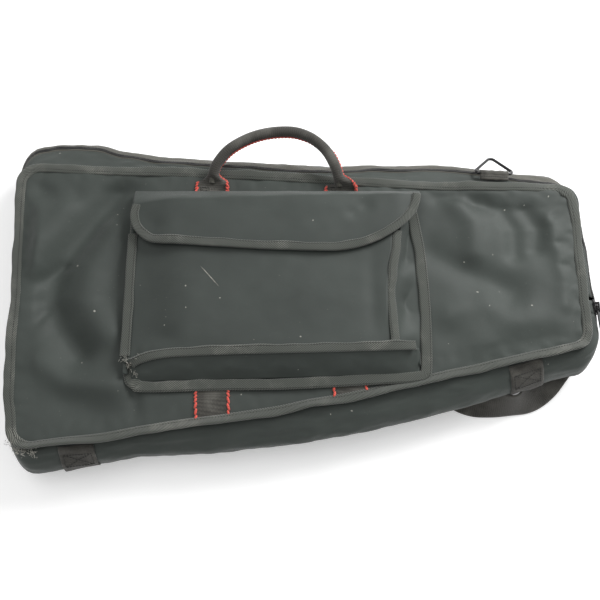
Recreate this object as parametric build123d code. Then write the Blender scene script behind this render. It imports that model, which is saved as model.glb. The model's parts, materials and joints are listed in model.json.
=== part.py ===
from build123d import *
import math
import os

# Soft zip bag for a mallet bell kit, lying on its back. Millimetres, +Z up.
# X runs along the bag from its wide end to its narrow end, +Y is the handle side.

# Driving dimensions: the panels
HALF_LENGTH = 325.0        # bound edge to centre, along X
HALF_WIDE = 175.0          # bound edge to centre at the wide end
HALF_NARROW = 100.0        # bound edge to centre at the narrow end
CORNER_RADIUS = 16.0       # corner of the seam line
BINDING_WIDTH = 11.0       # how far a bound seam stands out
BINDING_THICK = 3.2
PANEL_THICK = 3.6          # coated nylon, thin foam and lining together
GUSSET_THICK = 3.0
GUSSET_TOP_THICK = 1.8     # where the gusset turns in under the front panel
BACK_TOP = 4.0             # top of the back panel
SEAM_HEIGHT = 58.0         # top of the gusset, where the front panel starts
CLEARANCE = 0.4            # between pieces on different bodies
LAYER_GAP = 0.05           # between sewn layers of one body

# How far the slack gusset bulges out of the seam line, from back to front: (height, bulge)
BULGE_MID_HEIGHT = 32.0
BULGE = [(4.0, 0.0), (17.0, 24.0), (BULGE_MID_HEIGHT, 37.5), (46.0, 31.0),
         (52.4, 22.0), (57.0, 12.0), (58.0, 0.0)]
WIDE_BULGE_SHARE = 0.46
NARROW_BULGE_SHARE = 0.83

# The zip
ZIP_HEIGHT = 52.4
ZIP_BULGE = 22.0
COIL_RADIUS = 1.2
COIL_OFFSET_OUT = 1.25     # each coil from the zip's centre line, outward
COIL_OFFSET_UP = 1.15      # and upward
TAPE_BACK_LOW = 45.0
TAPE_BACK_HIGH = 48.9
TAPE_FRONT_LOW = 54.8
TAPE_FRONT_HIGH = 56.0
END_X = 298.0              # where the long sides turn into the ends
WIDE_STOP_Y = -118.0       # closed end of the zip on the wide end
NARROW_STOP_Y = -56.0
ZIP_PARK = 18.0            # length of closed zip that a parked slider sits on
SLIDER_LENGTH = 12.0
STOP_LENGTH = 1.4
STOP_Y = -7.7              # end stop from the middle of the parked slider

# The pocket, in its own frame: A along its opening, C towards the handle
POCKET_X = -24.0
POCKET_Y = -1.0
POCKET_TURN = -2.4
POCKET_HALF_WIDTH = 166.5
POCKET_HALF_HEIGHT = 114.5
POCKET_BAND = 14.0         # bound seam lying on the front panel
POCKET_FRONT_LEFT = -152.0
POCKET_FRONT_RIGHT = 122.0
POCKET_FRONT_LOW = -84.0
POCKET_FRONT_HIGH = 92.0   # upper edge of the side gusset walls
POCKET_MOUTH_C = 62.0      # upper edge of the front sheet, under the flap
POCKET_FRONT_HEIGHT = 84.0
POCKET_SHEET = 2.6
STRIP_OFFSET = 75.4        # centre of each webbing strip from the pocket's centre
STRIP_TOPS = {-1: 126.0, 1: 122.0}
WEBBING_WIDTH = 38.0
WEBBING_THICK = 1.8
WEBBING_NOTCH = 7.0        # height of the notch for an end of the loop, which lies under the back panel
WEBBING_NOTCH_DROP = 2.4
FLAP_LOW = 31.0
FLAP_HINGE_C = 98.0
FLAP_HINGE_Z = 88.6
FLAP_CORNERS = (32.0, 58.0)
FLAP_THICK = 2.2
FLAP_RIM = 9.0             # width of the flap's bound edge
FLAP_RIM_THICK = 3.0
CLOSURE_HALF_WIDTH = 40.0
CLOSURE_THICK = 0.85
CLOSURE_GAP = 0.3

# The handle, in its own frame: U along its base line, V away from the base line
HANDLE_X = -20.0
HANDLE_Y = 118.5
HANDLE_Z = 73.0
HANDLE_TURN = -6.5
HANDLE_TILT = 13.0
HANDLE_RADIUS = 6.0
HANDLE_CORE_RADIUS = 3.4
HANDLE_PATH = [(-75.0, 4.0), (-70.0, 36.0), (-33.0, 60.0), (33.0, 61.0), (66.0, 40.0), (75.0, 4.0)]
HANDLE_BENDS = [30.0, 42.0, 40.0, 30.0]

# The strap ring, in its own frame: U along its bar, V towards its apex
RING_X = 239.0
RING_Y = 123.5
RING_Z = 60.0
RING_TURN = -6.58
RING_DROOP = -34.0
RING_WIRE_RADIUS = 1.75
RING_HALF_BAR = 25.0
RING_REACH = 38.0
RING_BEND = 4.5
SLEEVE_HALF_WIDTH = 15.0
SLEEVE_RADIUS = 4.0
SLEEVE_BORE = 2.3

# The webbing loop under the narrow end: (x, y, z, heading, lean), angles in degrees
LOOP = [(118, -99, 1.3, -25, 0), (158, -120, 1.3, -25, 0), (186, -141, 6.2, -22, 15),
        (210, -151, 14.6, -5, 45), (232, -152, 18.6, 5, 66), (254, -147.5, 14.6, 25, 45),
        (273, -129, 6.4, 42, 16), (288, -111, 1.3, 45, 0), (303, -95, 1.3, 45, 0)]

TAPER = (HALF_WIDE - HALF_NARROW) / (2 * HALF_LENGTH)
TAPER_COS = math.cos(math.atan(TAPER))
SEAM_X = HALF_LENGTH - BINDING_WIDTH
SEAM_MID_Y = (HALF_WIDE + HALF_NARROW) / 2 - BINDING_WIDTH / TAPER_COS


def save(shape, node):
    """Write one node."""
    export_step(shape, "parts/" + node + ".step")


def outline(long_out, wide_out, narrow_out, radius, height):
    """The tapered plan outline at a height, each side moved out of the seam line."""
    x_wide = -SEAM_X - wide_out
    x_narrow = SEAM_X + narrow_out
    reach = SEAM_MID_Y + long_out / TAPER_COS
    y_wide = reach - TAPER * x_wide
    y_narrow = reach - TAPER * x_narrow
    corners = [(x_wide, -y_wide), (x_narrow, -y_narrow), (x_narrow, y_narrow), (x_wide, y_wide)]
    face = make_face(Polyline(*corners, close=True))
    face = fillet(face.vertices(), radius)
    return face.moved(Location((0, 0, height)))


def plate(out, low, high):
    """A flat plate of the seam outline moved out by one amount all round."""
    face = outline(out, out, out, CORNER_RADIUS + out, low)
    return extrude(face, high - low, dir=(0, 0, 1))


def bulge_at(height):
    """How far the long side's gusset stands out of the seam line at a height."""
    for (low_z, low_out), (high_z, high_out) in zip(BULGE, BULGE[1:]):
        if low_z <= height <= high_z:
            return low_out + (high_out - low_out) * (height - low_z) / (high_z - low_z)
    return 0.0


def barrel(heights, inset):
    """The bag's bulged body through a list of heights, with its wall moved in."""
    sections = []
    for height in heights:
        out = bulge_at(height)
        sections.append(outline(out - inset, out * WIDE_BULGE_SHARE - inset,
                                out * NARROW_BULGE_SHARE - inset,
                                CORNER_RADIUS + 0.5 * out - inset, height))
    return loft(sections, ruled=True)


def slab(low, high):
    """Everything between two heights."""
    return Pos(0, 0, (low + high) / 2) * Box(1000, 600, high - low)


def region(x_low, x_high, y_low, y_high):
    """Everything between two X and two Y values."""
    width = x_high - x_low
    depth = y_high - y_low
    return Pos((x_low + x_high) / 2, (y_low + y_high) / 2, 50) * Box(width, depth, 200)


def gusset_shell():
    """The whole slack gusset: a bulged ring round the panels."""
    outer = barrel([height for height, _ in BULGE], 0.0)
    inner_top = SEAM_HEIGHT - GUSSET_TOP_THICK
    inner_heights = [BACK_TOP + GUSSET_THICK, 17.0, 32.0, 46.0, ZIP_HEIGHT, inner_top]
    inner = barrel(inner_heights, GUSSET_THICK)
    return outer - inner - plate(0.0, -5.0, 80.0)


WIDE_SIDE = region(-400, -END_X, WIDE_STOP_Y, 260)
TOP_SIDE = region(-END_X, END_X, 0, 260)
NARROW_SIDE = region(END_X, 400, NARROW_STOP_Y, 260)
LID_WIDE_SIDE = region(-400, -END_X, WIDE_STOP_Y + ZIP_PARK, 260)
LID_NARROW_SIDE = region(END_X, 400, NARROW_STOP_Y + ZIP_PARK, 260)
GAP_WIDE = region(-400, -END_X, WIDE_STOP_Y + ZIP_PARK - CLEARANCE, 260)
GAP_NARROW = region(END_X, 400, NARROW_STOP_Y + ZIP_PARK - CLEARANCE, 260)


def make_gussets():
    """Gusset strips on both sides of the zip, and the whole gusset along the bottom."""
    shell = gusset_shell()
    back = shell & slab(BACK_TOP, TAPE_BACK_LOW)
    front = shell & slab(TAPE_FRONT_HIGH, SEAM_HEIGHT)
    save(back & TOP_SIDE, "zip_gusset_back_top")
    save(back & WIDE_SIDE, "zip_gusset_back_wide_end")
    save(back & NARROW_SIDE, "zip_gusset_back_narrow_end")
    save(front & TOP_SIDE, "zip_gusset_front_top")
    save(front & LID_WIDE_SIDE, "zip_gusset_front_wide_end")
    save(front & LID_NARROW_SIDE, "zip_gusset_front_narrow_end")
    around = TOP_SIDE + WIDE_SIDE + NARROW_SIDE
    lid_around = TOP_SIDE + LID_WIDE_SIDE + LID_NARROW_SIDE
    gap_around = TOP_SIDE + GAP_WIDE + GAP_NARROW
    parked = (shell & slab(TAPE_FRONT_LOW, SEAM_HEIGHT)) & around
    save((shell - around) + (parked - gap_around), "bottom_gusset")
    save(shell & slab(TAPE_BACK_LOW, TAPE_BACK_HIGH) & around, "zip_tape_back")
    save(shell & slab(TAPE_FRONT_LOW, TAPE_FRONT_HIGH) & lid_around, "zip_tape_front")


def coil_ring(out_offset, height):
    """A whole ring of zip coil round the bag at one height."""
    out = ZIP_BULGE + out_offset
    wide_out = ZIP_BULGE * WIDE_BULGE_SHARE + out_offset
    narrow_out = ZIP_BULGE * NARROW_BULGE_SHARE + out_offset
    face = outline(out, wide_out, narrow_out, CORNER_RADIUS + 0.5 * ZIP_BULGE, height)
    path = face.faces()[0].outer_wire()
    start = path @ 0
    profile = Plane(origin=start, z_dir=path % 0) * Circle(COIL_RADIUS)
    return sweep(profile, path=path)


def make_coils():
    """The two nylon coils, one on each tape."""
    back = coil_ring(COIL_OFFSET_OUT, ZIP_HEIGHT - COIL_OFFSET_UP)
    front = coil_ring(-COIL_OFFSET_OUT, ZIP_HEIGHT + COIL_OFFSET_UP)
    around = TOP_SIDE + WIDE_SIDE + NARROW_SIDE
    lid_around = TOP_SIDE + LID_WIDE_SIDE + LID_NARROW_SIDE
    gap_around = TOP_SIDE + GAP_WIDE + GAP_NARROW
    save(back & around, "zip_coil_back")
    save(front & lid_around, "zip_coil_front")
    stubs = front & around - gap_around
    save(Compound(children=list(stubs.solids())), "zip_coil_ends")
    save(Compound(children=[end_stop(side) for side in (-1, 1)]), "zip_end_stops")


def end_stop(side):
    """The metal stop clamped round both coils at the closed end of the zip."""
    stop = Pos(0, 0, 0.3) * Box(6.6, STOP_LENGTH, 3.6)
    coil_x = math.hypot(COIL_OFFSET_OUT, COIL_OFFSET_UP)
    for way in (-1, 1):
        stop = stop - Pos(way * coil_x, 0, 0) * (Rot(90, 0, 0) * Cylinder(COIL_RADIUS, 5))
    return track_frame(side).location * Pos(0, STOP_Y, 0) * stop.solids()[0]


def strap_section(station, width, thick, drop):
    """A flat webbing section, square to its heading and leaning on its lower edge."""
    x, y, z, heading, lean = station
    turn = math.radians(heading)
    tilt = math.radians(lean)
    along = Vector(math.cos(turn), math.sin(turn), 0)
    across = Vector(-math.sin(turn) * math.cos(tilt), math.cos(turn) * math.cos(tilt), math.sin(tilt))
    plane = Plane(origin=(x, y, z - drop), x_dir=across, z_dir=along)
    return plane * Rectangle(width, thick)


def webbing(stations, width, thick, drop):
    """Flat webbing through its stations."""
    sections = [strap_section(station, width, thick, drop) for station in stations]
    return loft(sections, ruled=True)


def notch(stations):
    """The room that an end of the webbing loop takes under the back panel."""
    return webbing(stations, WEBBING_WIDTH + 2, WEBBING_NOTCH, WEBBING_NOTCH_DROP)


def make_back():
    """The back panel, its bound edge and the webbing loop tucked under them."""
    loop = webbing(LOOP, WEBBING_WIDTH, WEBBING_THICK, 0.0)
    room = notch(LOOP[:3]) + notch(LOOP[-3:])
    panel = plate(0.0, 0.0, BACK_TOP) - room
    edge = plate(BINDING_WIDTH, 0.0, BINDING_THICK) - plate(0.0, -1.0, BINDING_THICK + 1) - room
    save(panel, "back_panel")
    save(edge, "back_binding")
    save(loop, "webbing_loop")


def gusset_patch(x_middle, width):
    """A webbing patch that follows the bottom gusset's bulge."""
    thick = WEBBING_THICK
    heights = [20.0, BULGE_MID_HEIGHT, 46.0, ZIP_HEIGHT, 56.6]
    wall = barrel(heights, -thick) - barrel(heights, 0.0)
    return wall & region(x_middle - width / 2, x_middle + width / 2, -300, -80)


def make_patches():
    """The two webbing patches sewn across the bottom gusset."""
    save(gusset_patch(242.0, WEBBING_WIDTH), "gusset_patch_narrow_end")
    save(gusset_patch(-254.0, WEBBING_WIDTH), "gusset_patch_wide_end")


PANEL_LOW = SEAM_HEIGHT + CLEARANCE
PANEL_HIGH = PANEL_LOW + PANEL_THICK
EDGE_LOW = SEAM_HEIGHT + 1.3
EDGE_HIGH = EDGE_LOW + BINDING_THICK
STRIP_LOW = PANEL_HIGH + 0.1
STRIP_HIGH = STRIP_LOW + WEBBING_THICK
POCKET_BASE = STRIP_HIGH + 0.2
POCKET_FRAME = Location((POCKET_X, POCKET_Y, 0), (0, 0, POCKET_TURN))


def make_front():
    """The front panel and its bound edge."""
    save(plate(0.0, PANEL_LOW, PANEL_HIGH), "front_panel")
    edge = plate(BINDING_WIDTH, EDGE_LOW, EDGE_HIGH) - plate(0.0, EDGE_LOW - 1, EDGE_HIGH + 1)
    save(edge, "front_binding")


def local_box(a_low, a_high, c_low, c_high, z_low, z_high):
    """A box in the pocket's frame."""
    middle = Pos((a_low + a_high) / 2, (c_low + c_high) / 2, (z_low + z_high) / 2)
    return middle * Box(a_high - a_low, c_high - c_low, z_high - z_low)


def strip_solid(a_middle, width, low, high, c_high):
    """A strip of webbing from the handle down to the bottom seam, cut to the panel."""
    strip = local_box(a_middle - width / 2, a_middle + width / 2, -220, c_high, low, high)
    return (POCKET_FRAME * strip) & plate(-CLEARANCE, low - 1, high + 1)


def make_strips():
    """The two full-height webbing strips and the raised stitching on their edges."""
    for side, name in ((-1, "left"), (1, "right")):
        c_high = STRIP_TOPS[side]
        middle = side * STRIP_OFFSET
        save(strip_solid(middle, WEBBING_WIDTH - 4.4, STRIP_LOW, STRIP_HIGH, c_high),
             "webbing_strip_" + name)
        edge_offset = WEBBING_WIDTH / 2 - 1.0
        edges = [strip_solid(middle + way * edge_offset, 2.0, STRIP_LOW, STRIP_HIGH, c_high)
                 for way in (-1, 1)]
        save(Compound(children=[edge.solids()[0] for edge in edges]), "edge_stitching_" + name)


def pocket_body(inset, base, top):
    """The pocket's slumped body, as a slanted block in the pocket's frame."""
    band = POCKET_BAND
    share_low = (base - POCKET_BASE) / (POCKET_FRONT_HEIGHT - POCKET_BASE)
    share_high = (top - POCKET_BASE) / (POCKET_FRONT_HEIGHT - POCKET_BASE)
    faces = []
    for share, height in ((share_low, base), (share_high, top)):
        left = -POCKET_HALF_WIDTH + band + inset
        right_base = POCKET_HALF_WIDTH - band
        right = right_base + (POCKET_FRONT_RIGHT - right_base) * share - inset
        low_base = -POCKET_HALF_HEIGHT + band
        low = low_base + (POCKET_FRONT_LOW - low_base) * share + inset
        high = POCKET_FRONT_HIGH + (40 if inset > 0 else 0)
        middle = Pos((left + right) / 2, (low + high) / 2, height)
        faces.append(middle * Rectangle(right - left, high - low))
    return loft(faces, ruled=True)


def make_pocket():
    """The bellows pocket: front sheet, three gusset walls and both bound seams."""
    top = POCKET_FRONT_HEIGHT
    shell = pocket_body(0.0, POCKET_BASE, top) - pocket_body(POCKET_SHEET, POCKET_BASE - 2, top + 2)
    bottom_cut = local_box(-300, 300, -200, POCKET_FRONT_LOW + POCKET_SHEET + 0.5, 0, 200)
    left = (shell - bottom_cut) & local_box(-300, 0, -200, 200, 0, 200)
    right = (shell - bottom_cut) & local_box(0, 300, -200, 200, 0, 200)
    save(POCKET_FRAME * (shell & bottom_cut), "pocket_gusset_bottom")
    save(POCKET_FRAME * left, "pocket_gusset_left")
    save(POCKET_FRAME * right, "pocket_gusset_right")
    sheet = local_box(POCKET_FRONT_LEFT, POCKET_FRONT_RIGHT, POCKET_FRONT_LOW, POCKET_MOUTH_C,
                      top, top + POCKET_SHEET)
    save(POCKET_FRAME * sheet, "pocket_front")
    save(POCKET_FRAME * pocket_band_base(), "pocket_base_binding")
    save(POCKET_FRAME * pocket_band_front(), "pocket_front_binding")


def pocket_band_base():
    """The bound seam that holds the pocket's gusset on the front panel: a U of flat tape."""
    wide = POCKET_HALF_WIDTH
    low = -POCKET_HALF_HEIGHT
    outer = local_box(-wide, wide, low, POCKET_FRONT_HIGH, POCKET_BASE, POCKET_BASE + 2.4)
    inner = local_box(-wide + POCKET_BAND - 0.2, wide - POCKET_BAND + 0.2, low + POCKET_BAND - 0.2, 200,
                      POCKET_BASE - 1, POCKET_BASE + 4)
    return outer - inner


def pocket_band_front():
    """The bound seam round the pocket's front sheet: a U of flat tape on its edge."""
    low_z = POCKET_FRONT_HEIGHT + POCKET_SHEET + LAYER_GAP
    outer = local_box(POCKET_FRONT_LEFT, POCKET_FRONT_RIGHT, POCKET_FRONT_LOW, FLAP_LOW - 6,
                      low_z, low_z + 1.4)
    inner = local_box(POCKET_FRONT_LEFT + 9, POCKET_FRONT_RIGHT - 9, POCKET_FRONT_LOW + 9, 200,
                      low_z - 1, low_z + 3)
    return outer - inner


def make_flap_root():
    """The standing strip that joins the flap to the front panel."""
    wide = POCKET_HALF_WIDTH - 2
    points = [(POCKET_HALF_HEIGHT, POCKET_BASE), (POCKET_HALF_HEIGHT - 2.4, POCKET_BASE),
              (FLAP_HINGE_C + 1.2, FLAP_HINGE_Z - 2.2), (FLAP_HINGE_C + 3.0, FLAP_HINGE_Z - 1.2)]
    section = Plane(origin=(-wide, 0, 0), x_dir=(0, 1, 0), z_dir=(1, 0, 0)) * make_face(
        Polyline(*points, close=True))
    save(POCKET_FRAME * extrude(section, 2 * wide, dir=(1, 0, 0)), "flap_root")


def flap_face(inset):
    """The flap's plan: straight along its hinge, with two round corners."""
    left = -POCKET_HALF_WIDTH + 2 + inset
    right = POCKET_HALF_WIDTH - 2 - inset
    low = FLAP_LOW + inset
    corners = [(left, low), (right, low), (right, FLAP_HINGE_C), (left, FLAP_HINGE_C)]
    face = make_face(Polyline(*corners, close=True))
    for radius, x in zip(FLAP_CORNERS, (left, right)):
        vertex = face.vertices().sort_by_distance((x, low, 0))[0]
        face = fillet(vertex, radius - inset)
    return face


def make_flap():
    """The pocket flap with its bound edge, and the hook and loop closure under it."""
    base = FLAP_HINGE_Z
    up = (0, 0, 1)
    sheet = extrude(flap_face(FLAP_RIM).moved(Location((0, 0, base))), FLAP_THICK, dir=up)
    rim = extrude(flap_face(0.0).moved(Location((0, 0, base))), FLAP_RIM_THICK, dir=up)
    rim = rim - extrude(flap_face(FLAP_RIM).moved(Location((0, 0, base - 1))), 2 * FLAP_RIM_THICK, dir=up)
    rim = rim & local_box(-300, 300, 0, FLAP_HINGE_C - FLAP_RIM, 0, 200)
    hinge_strip = local_box(-POCKET_HALF_WIDTH + 2, POCKET_HALF_WIDTH - 2, FLAP_HINGE_C - FLAP_RIM,
                            FLAP_HINGE_C, base, base + FLAP_THICK)
    save(POCKET_FRAME * (sheet + hinge_strip), "pocket_flap")
    save(POCKET_FRAME * rim, "flap_binding")
    hook_base = base - LAYER_GAP - CLOSURE_THICK
    loop_base = POCKET_FRONT_HEIGHT + POCKET_SHEET + LAYER_GAP
    loop_thick = hook_base - CLOSURE_GAP - loop_base
    half = CLOSURE_HALF_WIDTH
    hook = local_box(-half, half, FLAP_LOW + 12, FLAP_LOW + 32, hook_base, hook_base + CLOSURE_THICK)
    loop = local_box(-half, half, FLAP_LOW + 10, FLAP_LOW + 34, loop_base, loop_base + loop_thick)
    save(POCKET_FRAME * hook, "closure_hook_tape")
    save(POCKET_FRAME * loop, "closure_loop_tape")


def make_handle():
    """The grip of folded webbing, the round core inside it and the stitching along it."""
    path = FilletPolyline(*HANDLE_PATH, radius=HANDLE_BENDS)
    profile = Plane(origin=path @ 0, z_dir=path % 0)
    outer = sweep(profile * Circle(HANDLE_RADIUS), path=path)
    bore = sweep(profile * Circle(HANDLE_CORE_RADIUS + 0.05), path=path)
    core = sweep(profile * Circle(HANDLE_CORE_RADIUS), path=path)
    place = (Location((HANDLE_X, HANDLE_Y, HANDLE_Z), (0, 0, HANDLE_TURN))
             * Location((0, 0, 0), (HANDLE_TILT, 0, 0)))
    inner_path = FilletPolyline(*[(u * 0.9, v - 7.2) for u, v in HANDLE_PATH[1:-1]],
                                radius=[34.0, 34.0])
    seam_profile = Plane(origin=inner_path @ 0, z_dir=inner_path % 0) * Circle(1.2)
    seam = sweep(seam_profile, path=inner_path) - outer
    save(place * (outer - bore), "handle_grip")
    save(place * core, "handle_core")
    save(place * max(seam.solids(), key=lambda solid: solid.volume), "handle_stitching")


def make_handle_tabs():
    """The doubled webbing ends that hold the handle on the strips."""
    for side, name in ((-1, "left"), (1, "right")):
        c_high = STRIP_TOPS[side]
        middle = side * STRIP_OFFSET
        tab = local_box(middle - 11, middle + 11, c_high - 7, c_high, STRIP_HIGH + 0.05, STRIP_HIGH + 1.2)
        save(POCKET_FRAME * tab, "handle_tab_" + name)


RING_PLACE = Location((RING_X, RING_Y, RING_Z), (0, 0, RING_TURN))


def make_ring():
    """The triangular strap ring and the webbing sleeve round its bar."""
    droop = Location((0, 0, 0), (RING_DROOP, 0, 0))
    corners = [(-RING_HALF_BAR, 0.0), (RING_HALF_BAR, 0.0), (0.0, RING_REACH)]
    triangle = make_face(Polyline(*corners, close=True))
    path = fillet(triangle.vertices(), RING_BEND).faces()[0].outer_wire()
    profile = Plane(origin=path @ 0, z_dir=path % 0) * Circle(RING_WIRE_RADIUS)
    ring = sweep(profile, path=path)
    save(RING_PLACE * droop * ring, "strap_ring")
    along = Plane(origin=(-SLEEVE_HALF_WIDTH, 0, 0), x_dir=(0, 1, 0), z_dir=(1, 0, 0))
    sleeve = extrude(along * Circle(SLEEVE_RADIUS), 2 * SLEEVE_HALF_WIDTH)
    tab = Pos(0, -SLEEVE_RADIUS - 3.5, 0) * Box(2 * SLEEVE_HALF_WIDTH, 9.0, WEBBING_THICK)
    bore = extrude(along * Circle(SLEEVE_BORE), 2 * SLEEVE_HALF_WIDTH)
    body = (RING_PLACE * (sleeve + tab - bore)) - plate(BINDING_WIDTH + 0.1, EDGE_LOW - 3, EDGE_HIGH + 3)
    save(body, "ring_sleeve")


def track_frame(side):
    """The zip's centre on an end: X across the tape, Y along the zip, Z out of the surface."""
    share = WIDE_BULGE_SHARE if side < 0 else NARROW_BULGE_SHARE
    x = side * (SEAM_X + ZIP_BULGE * share)
    stop = WIDE_STOP_Y if side < 0 else NARROW_STOP_Y
    run = math.hypot(COIL_OFFSET_OUT, COIL_OFFSET_UP)
    outward = Vector(side * COIL_OFFSET_UP / run, 0, COIL_OFFSET_OUT / run)
    across = Vector(COIL_OFFSET_OUT / run, 0, -side * COIL_OFFSET_UP / run)
    return Plane(origin=(x, stop + ZIP_PARK / 2 - 0.5, ZIP_HEIGHT), x_dir=across, z_dir=outward)


def slider_body():
    """A zip slider: two plates round the coils, the wedge between them and a bridge on top."""
    outer = Pos(0, 0, 2.1) * Box(9.0, SLIDER_LENGTH, 1.2)
    outer = fillet(outer.edges().filter_by(Axis.Z), 2.0)
    inner = Pos(0, 0, -1.9) * Box(5.2, SLIDER_LENGTH - 1, 0.8)
    wedge = Box(0.5, 3.0, 3.4)
    bridge = Pos(0, 0, 4.4) * Box(2.4, SLIDER_LENGTH - 2, 3.8)
    bridge = bridge - Pos(0, 0, 3.9) * Box(4.0, SLIDER_LENGTH - 5.4, 2.6)
    return outer + inner + wedge + bridge


def slider_pull():
    """The pull tab: a cross pin under the bridge, two arms and a flat tongue."""
    rod = Cylinder(0.7, 6.8, align=(Align.CENTER, Align.CENTER, Align.MIN))
    pin = Pos(-3.4, 0, 3.9) * (Rot(0, 90, 0) * rod)
    arms = [Pos(way * 2.7, -3.9, 3.9) * Box(1.4, 7.8, 1.2) for way in (-1, 1)]
    tongue = Pos(0, -18.0, 3.9) * Box(7.6, 22.0, 1.3)
    tongue = fillet(tongue.edges().filter_by(Axis.Z), 2.2)
    return pin + arms[0] + arms[1] + tongue


def make_sliders():
    """A slider with its pull tab on each end of the bag."""
    for side, name in ((-1, "wide_end"), (1, "narrow_end")):
        place = track_frame(side).location
        save(place * slider_body(), "zip_slider_" + name)
        save(place * slider_pull(), "slider_pull_" + name)


os.makedirs("parts", exist_ok=True)
make_gussets()
make_coils()
make_back()
make_patches()
make_front()
make_strips()
make_pocket()
make_flap_root()
make_flap()
make_handle()
make_handle_tabs()
make_ring()
make_sliders()
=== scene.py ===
import json
import math
import random

import bmesh
import bpy
from bpy.props import FloatProperty, FloatVectorProperty, PointerProperty
from mathutils import Matrix, Vector, noise


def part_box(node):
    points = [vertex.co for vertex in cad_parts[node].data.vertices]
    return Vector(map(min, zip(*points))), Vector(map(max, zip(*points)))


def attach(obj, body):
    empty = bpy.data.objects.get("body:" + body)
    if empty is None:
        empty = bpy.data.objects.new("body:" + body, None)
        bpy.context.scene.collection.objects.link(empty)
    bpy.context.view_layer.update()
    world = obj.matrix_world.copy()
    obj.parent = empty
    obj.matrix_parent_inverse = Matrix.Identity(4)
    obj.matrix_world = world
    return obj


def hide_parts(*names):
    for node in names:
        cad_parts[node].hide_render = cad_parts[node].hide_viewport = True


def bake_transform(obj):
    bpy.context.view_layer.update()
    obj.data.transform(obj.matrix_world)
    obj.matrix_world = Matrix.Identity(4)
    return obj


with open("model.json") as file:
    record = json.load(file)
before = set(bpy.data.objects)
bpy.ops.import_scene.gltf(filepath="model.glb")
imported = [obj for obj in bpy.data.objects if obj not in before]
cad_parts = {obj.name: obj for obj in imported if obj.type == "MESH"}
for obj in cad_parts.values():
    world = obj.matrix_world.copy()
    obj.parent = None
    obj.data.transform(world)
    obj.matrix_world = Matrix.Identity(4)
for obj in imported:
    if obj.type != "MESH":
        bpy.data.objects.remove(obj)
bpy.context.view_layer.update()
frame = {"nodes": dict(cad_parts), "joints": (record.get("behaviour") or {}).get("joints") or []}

bl_info = {
    "name": "Soft Carry Bag",
    "version": (1, 0, 0),
    "blender": (4, 5, 0),
    "location": "View3D > Sidebar > Bag",
    "description": "Builds a padded zip bag with a front pocket, a webbing handle and a strap ring",
    "category": "Object",
}

MM = 0.001
UP = Vector((0, 0, 1))

# Places that come from the frame
JOINTS = {joint["name"]: joint for joint in frame["joints"]}
PANEL_LOW, PANEL_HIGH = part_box("front_panel")
FIN_LOW, FIN_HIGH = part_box("front_binding")
BACK_LOW, BACK_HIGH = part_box("back_panel")
HINGE = Vector(JOINTS["lid_open"]["pos_m"])
HINGE_AXIS = Vector(JOINTS["lid_open"]["axis"])
TAPER = HINGE_AXIS.y / HINGE_AXIS.x
TAPER_COS = math.cos(math.atan(TAPER))
SEAM_X = PANEL_HIGH.x
FIN_WIDTH = FIN_HIGH.x - SEAM_X
SEAM_MID_Y = -HINGE.y - FIN_WIDTH / TAPER_COS
SEAM_RADIUS = 16 * MM
FRONT_Z = PANEL_HIGH.z
FIN_MIDDLE_Z = (FIN_LOW.z + FIN_HIGH.z) / 2
BACK_FIN_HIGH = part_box("back_binding")[1].z

FLAP_JOINT = JOINTS["flap_open"]
FLAP_HINGE_C = 98 * MM
POCKET_TURN = math.atan2(-FLAP_JOINT["axis"][1], -FLAP_JOINT["axis"][0])
POCKET_PLACE = (Matrix.Translation(Vector((FLAP_JOINT["pos_m"][0], FLAP_JOINT["pos_m"][1], 0)))
                @ Matrix.Rotation(POCKET_TURN, 4, "Z")
                @ Matrix.Translation(Vector((0, -FLAP_HINGE_C, 0))))

HANDLE_JOINT = JOINTS["handle_swing"]
HANDLE_TURN = math.atan2(-HANDLE_JOINT["axis"][1], -HANDLE_JOINT["axis"][0])
HANDLE_TILT = math.radians(13)
HANDLE_PLACE = (Matrix.Translation(Vector(HANDLE_JOINT["pos_m"]))
                @ Matrix.Rotation(HANDLE_TURN, 4, "Z")
                @ Matrix.Rotation(HANDLE_TILT, 4, "X"))

RING_JOINT = JOINTS["ring_swing"]
RING_TURN = math.atan2(RING_JOINT["axis"][1], RING_JOINT["axis"][0])
RING_PLACE = Matrix.Translation(Vector(RING_JOINT["pos_m"])) @ Matrix.Rotation(RING_TURN, 4, "Z")

# The gusset's section from the back seam to the front seam, in millimetres: (height, bulge)
SECTION = [(4.2, 0.0), (17.0, 24.0), (31.0, 37.5), (44.0, 33.0), (52.4, 22.0), (57.0, 12.0), (58.6, 0.0)]
SECTION_STEP = 17 * MM     # cloth from one point of the section to the next
ZIP_KNOT = 4               # the point of the section that the zip runs along
WIDE_SHARES = (0.46,) * 7  # of the bulge, at the wide end and at the narrow end
NARROW_SHARES = (0.5, 0.5, 0.48, 0.58, 0.83, 0.83, 0.83)
WIDE_STOP_Y = -118 * MM    # closed ends of the zip
NARROW_STOP_Y = -56 * MM
ZIP_PARK = 18 * MM
PATCH_XS = {"narrow_end": 242 * MM, "wide_end": -254 * MM}
WEBBING = 38 * MM
STRIP_OFFSET = 75.4 * MM
STRIP_TOPS = {"left": 126 * MM, "right": 122 * MM}

# Where the slack top of the gusset has slid outward: (x, extra bulge, drop of the zip), millimetres
SLUMP = [(-314, 10, 6), (-285, 22, 13), (-242, 22, 12), (-205, 11, 6), (-157, 3, 2), (-89, 0, 0),
         (38, -2, 0), (105, 4, 1), (177, 10, 5), (225, 6, 4), (270, -2, 1), (314, -5, 0)]

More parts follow.
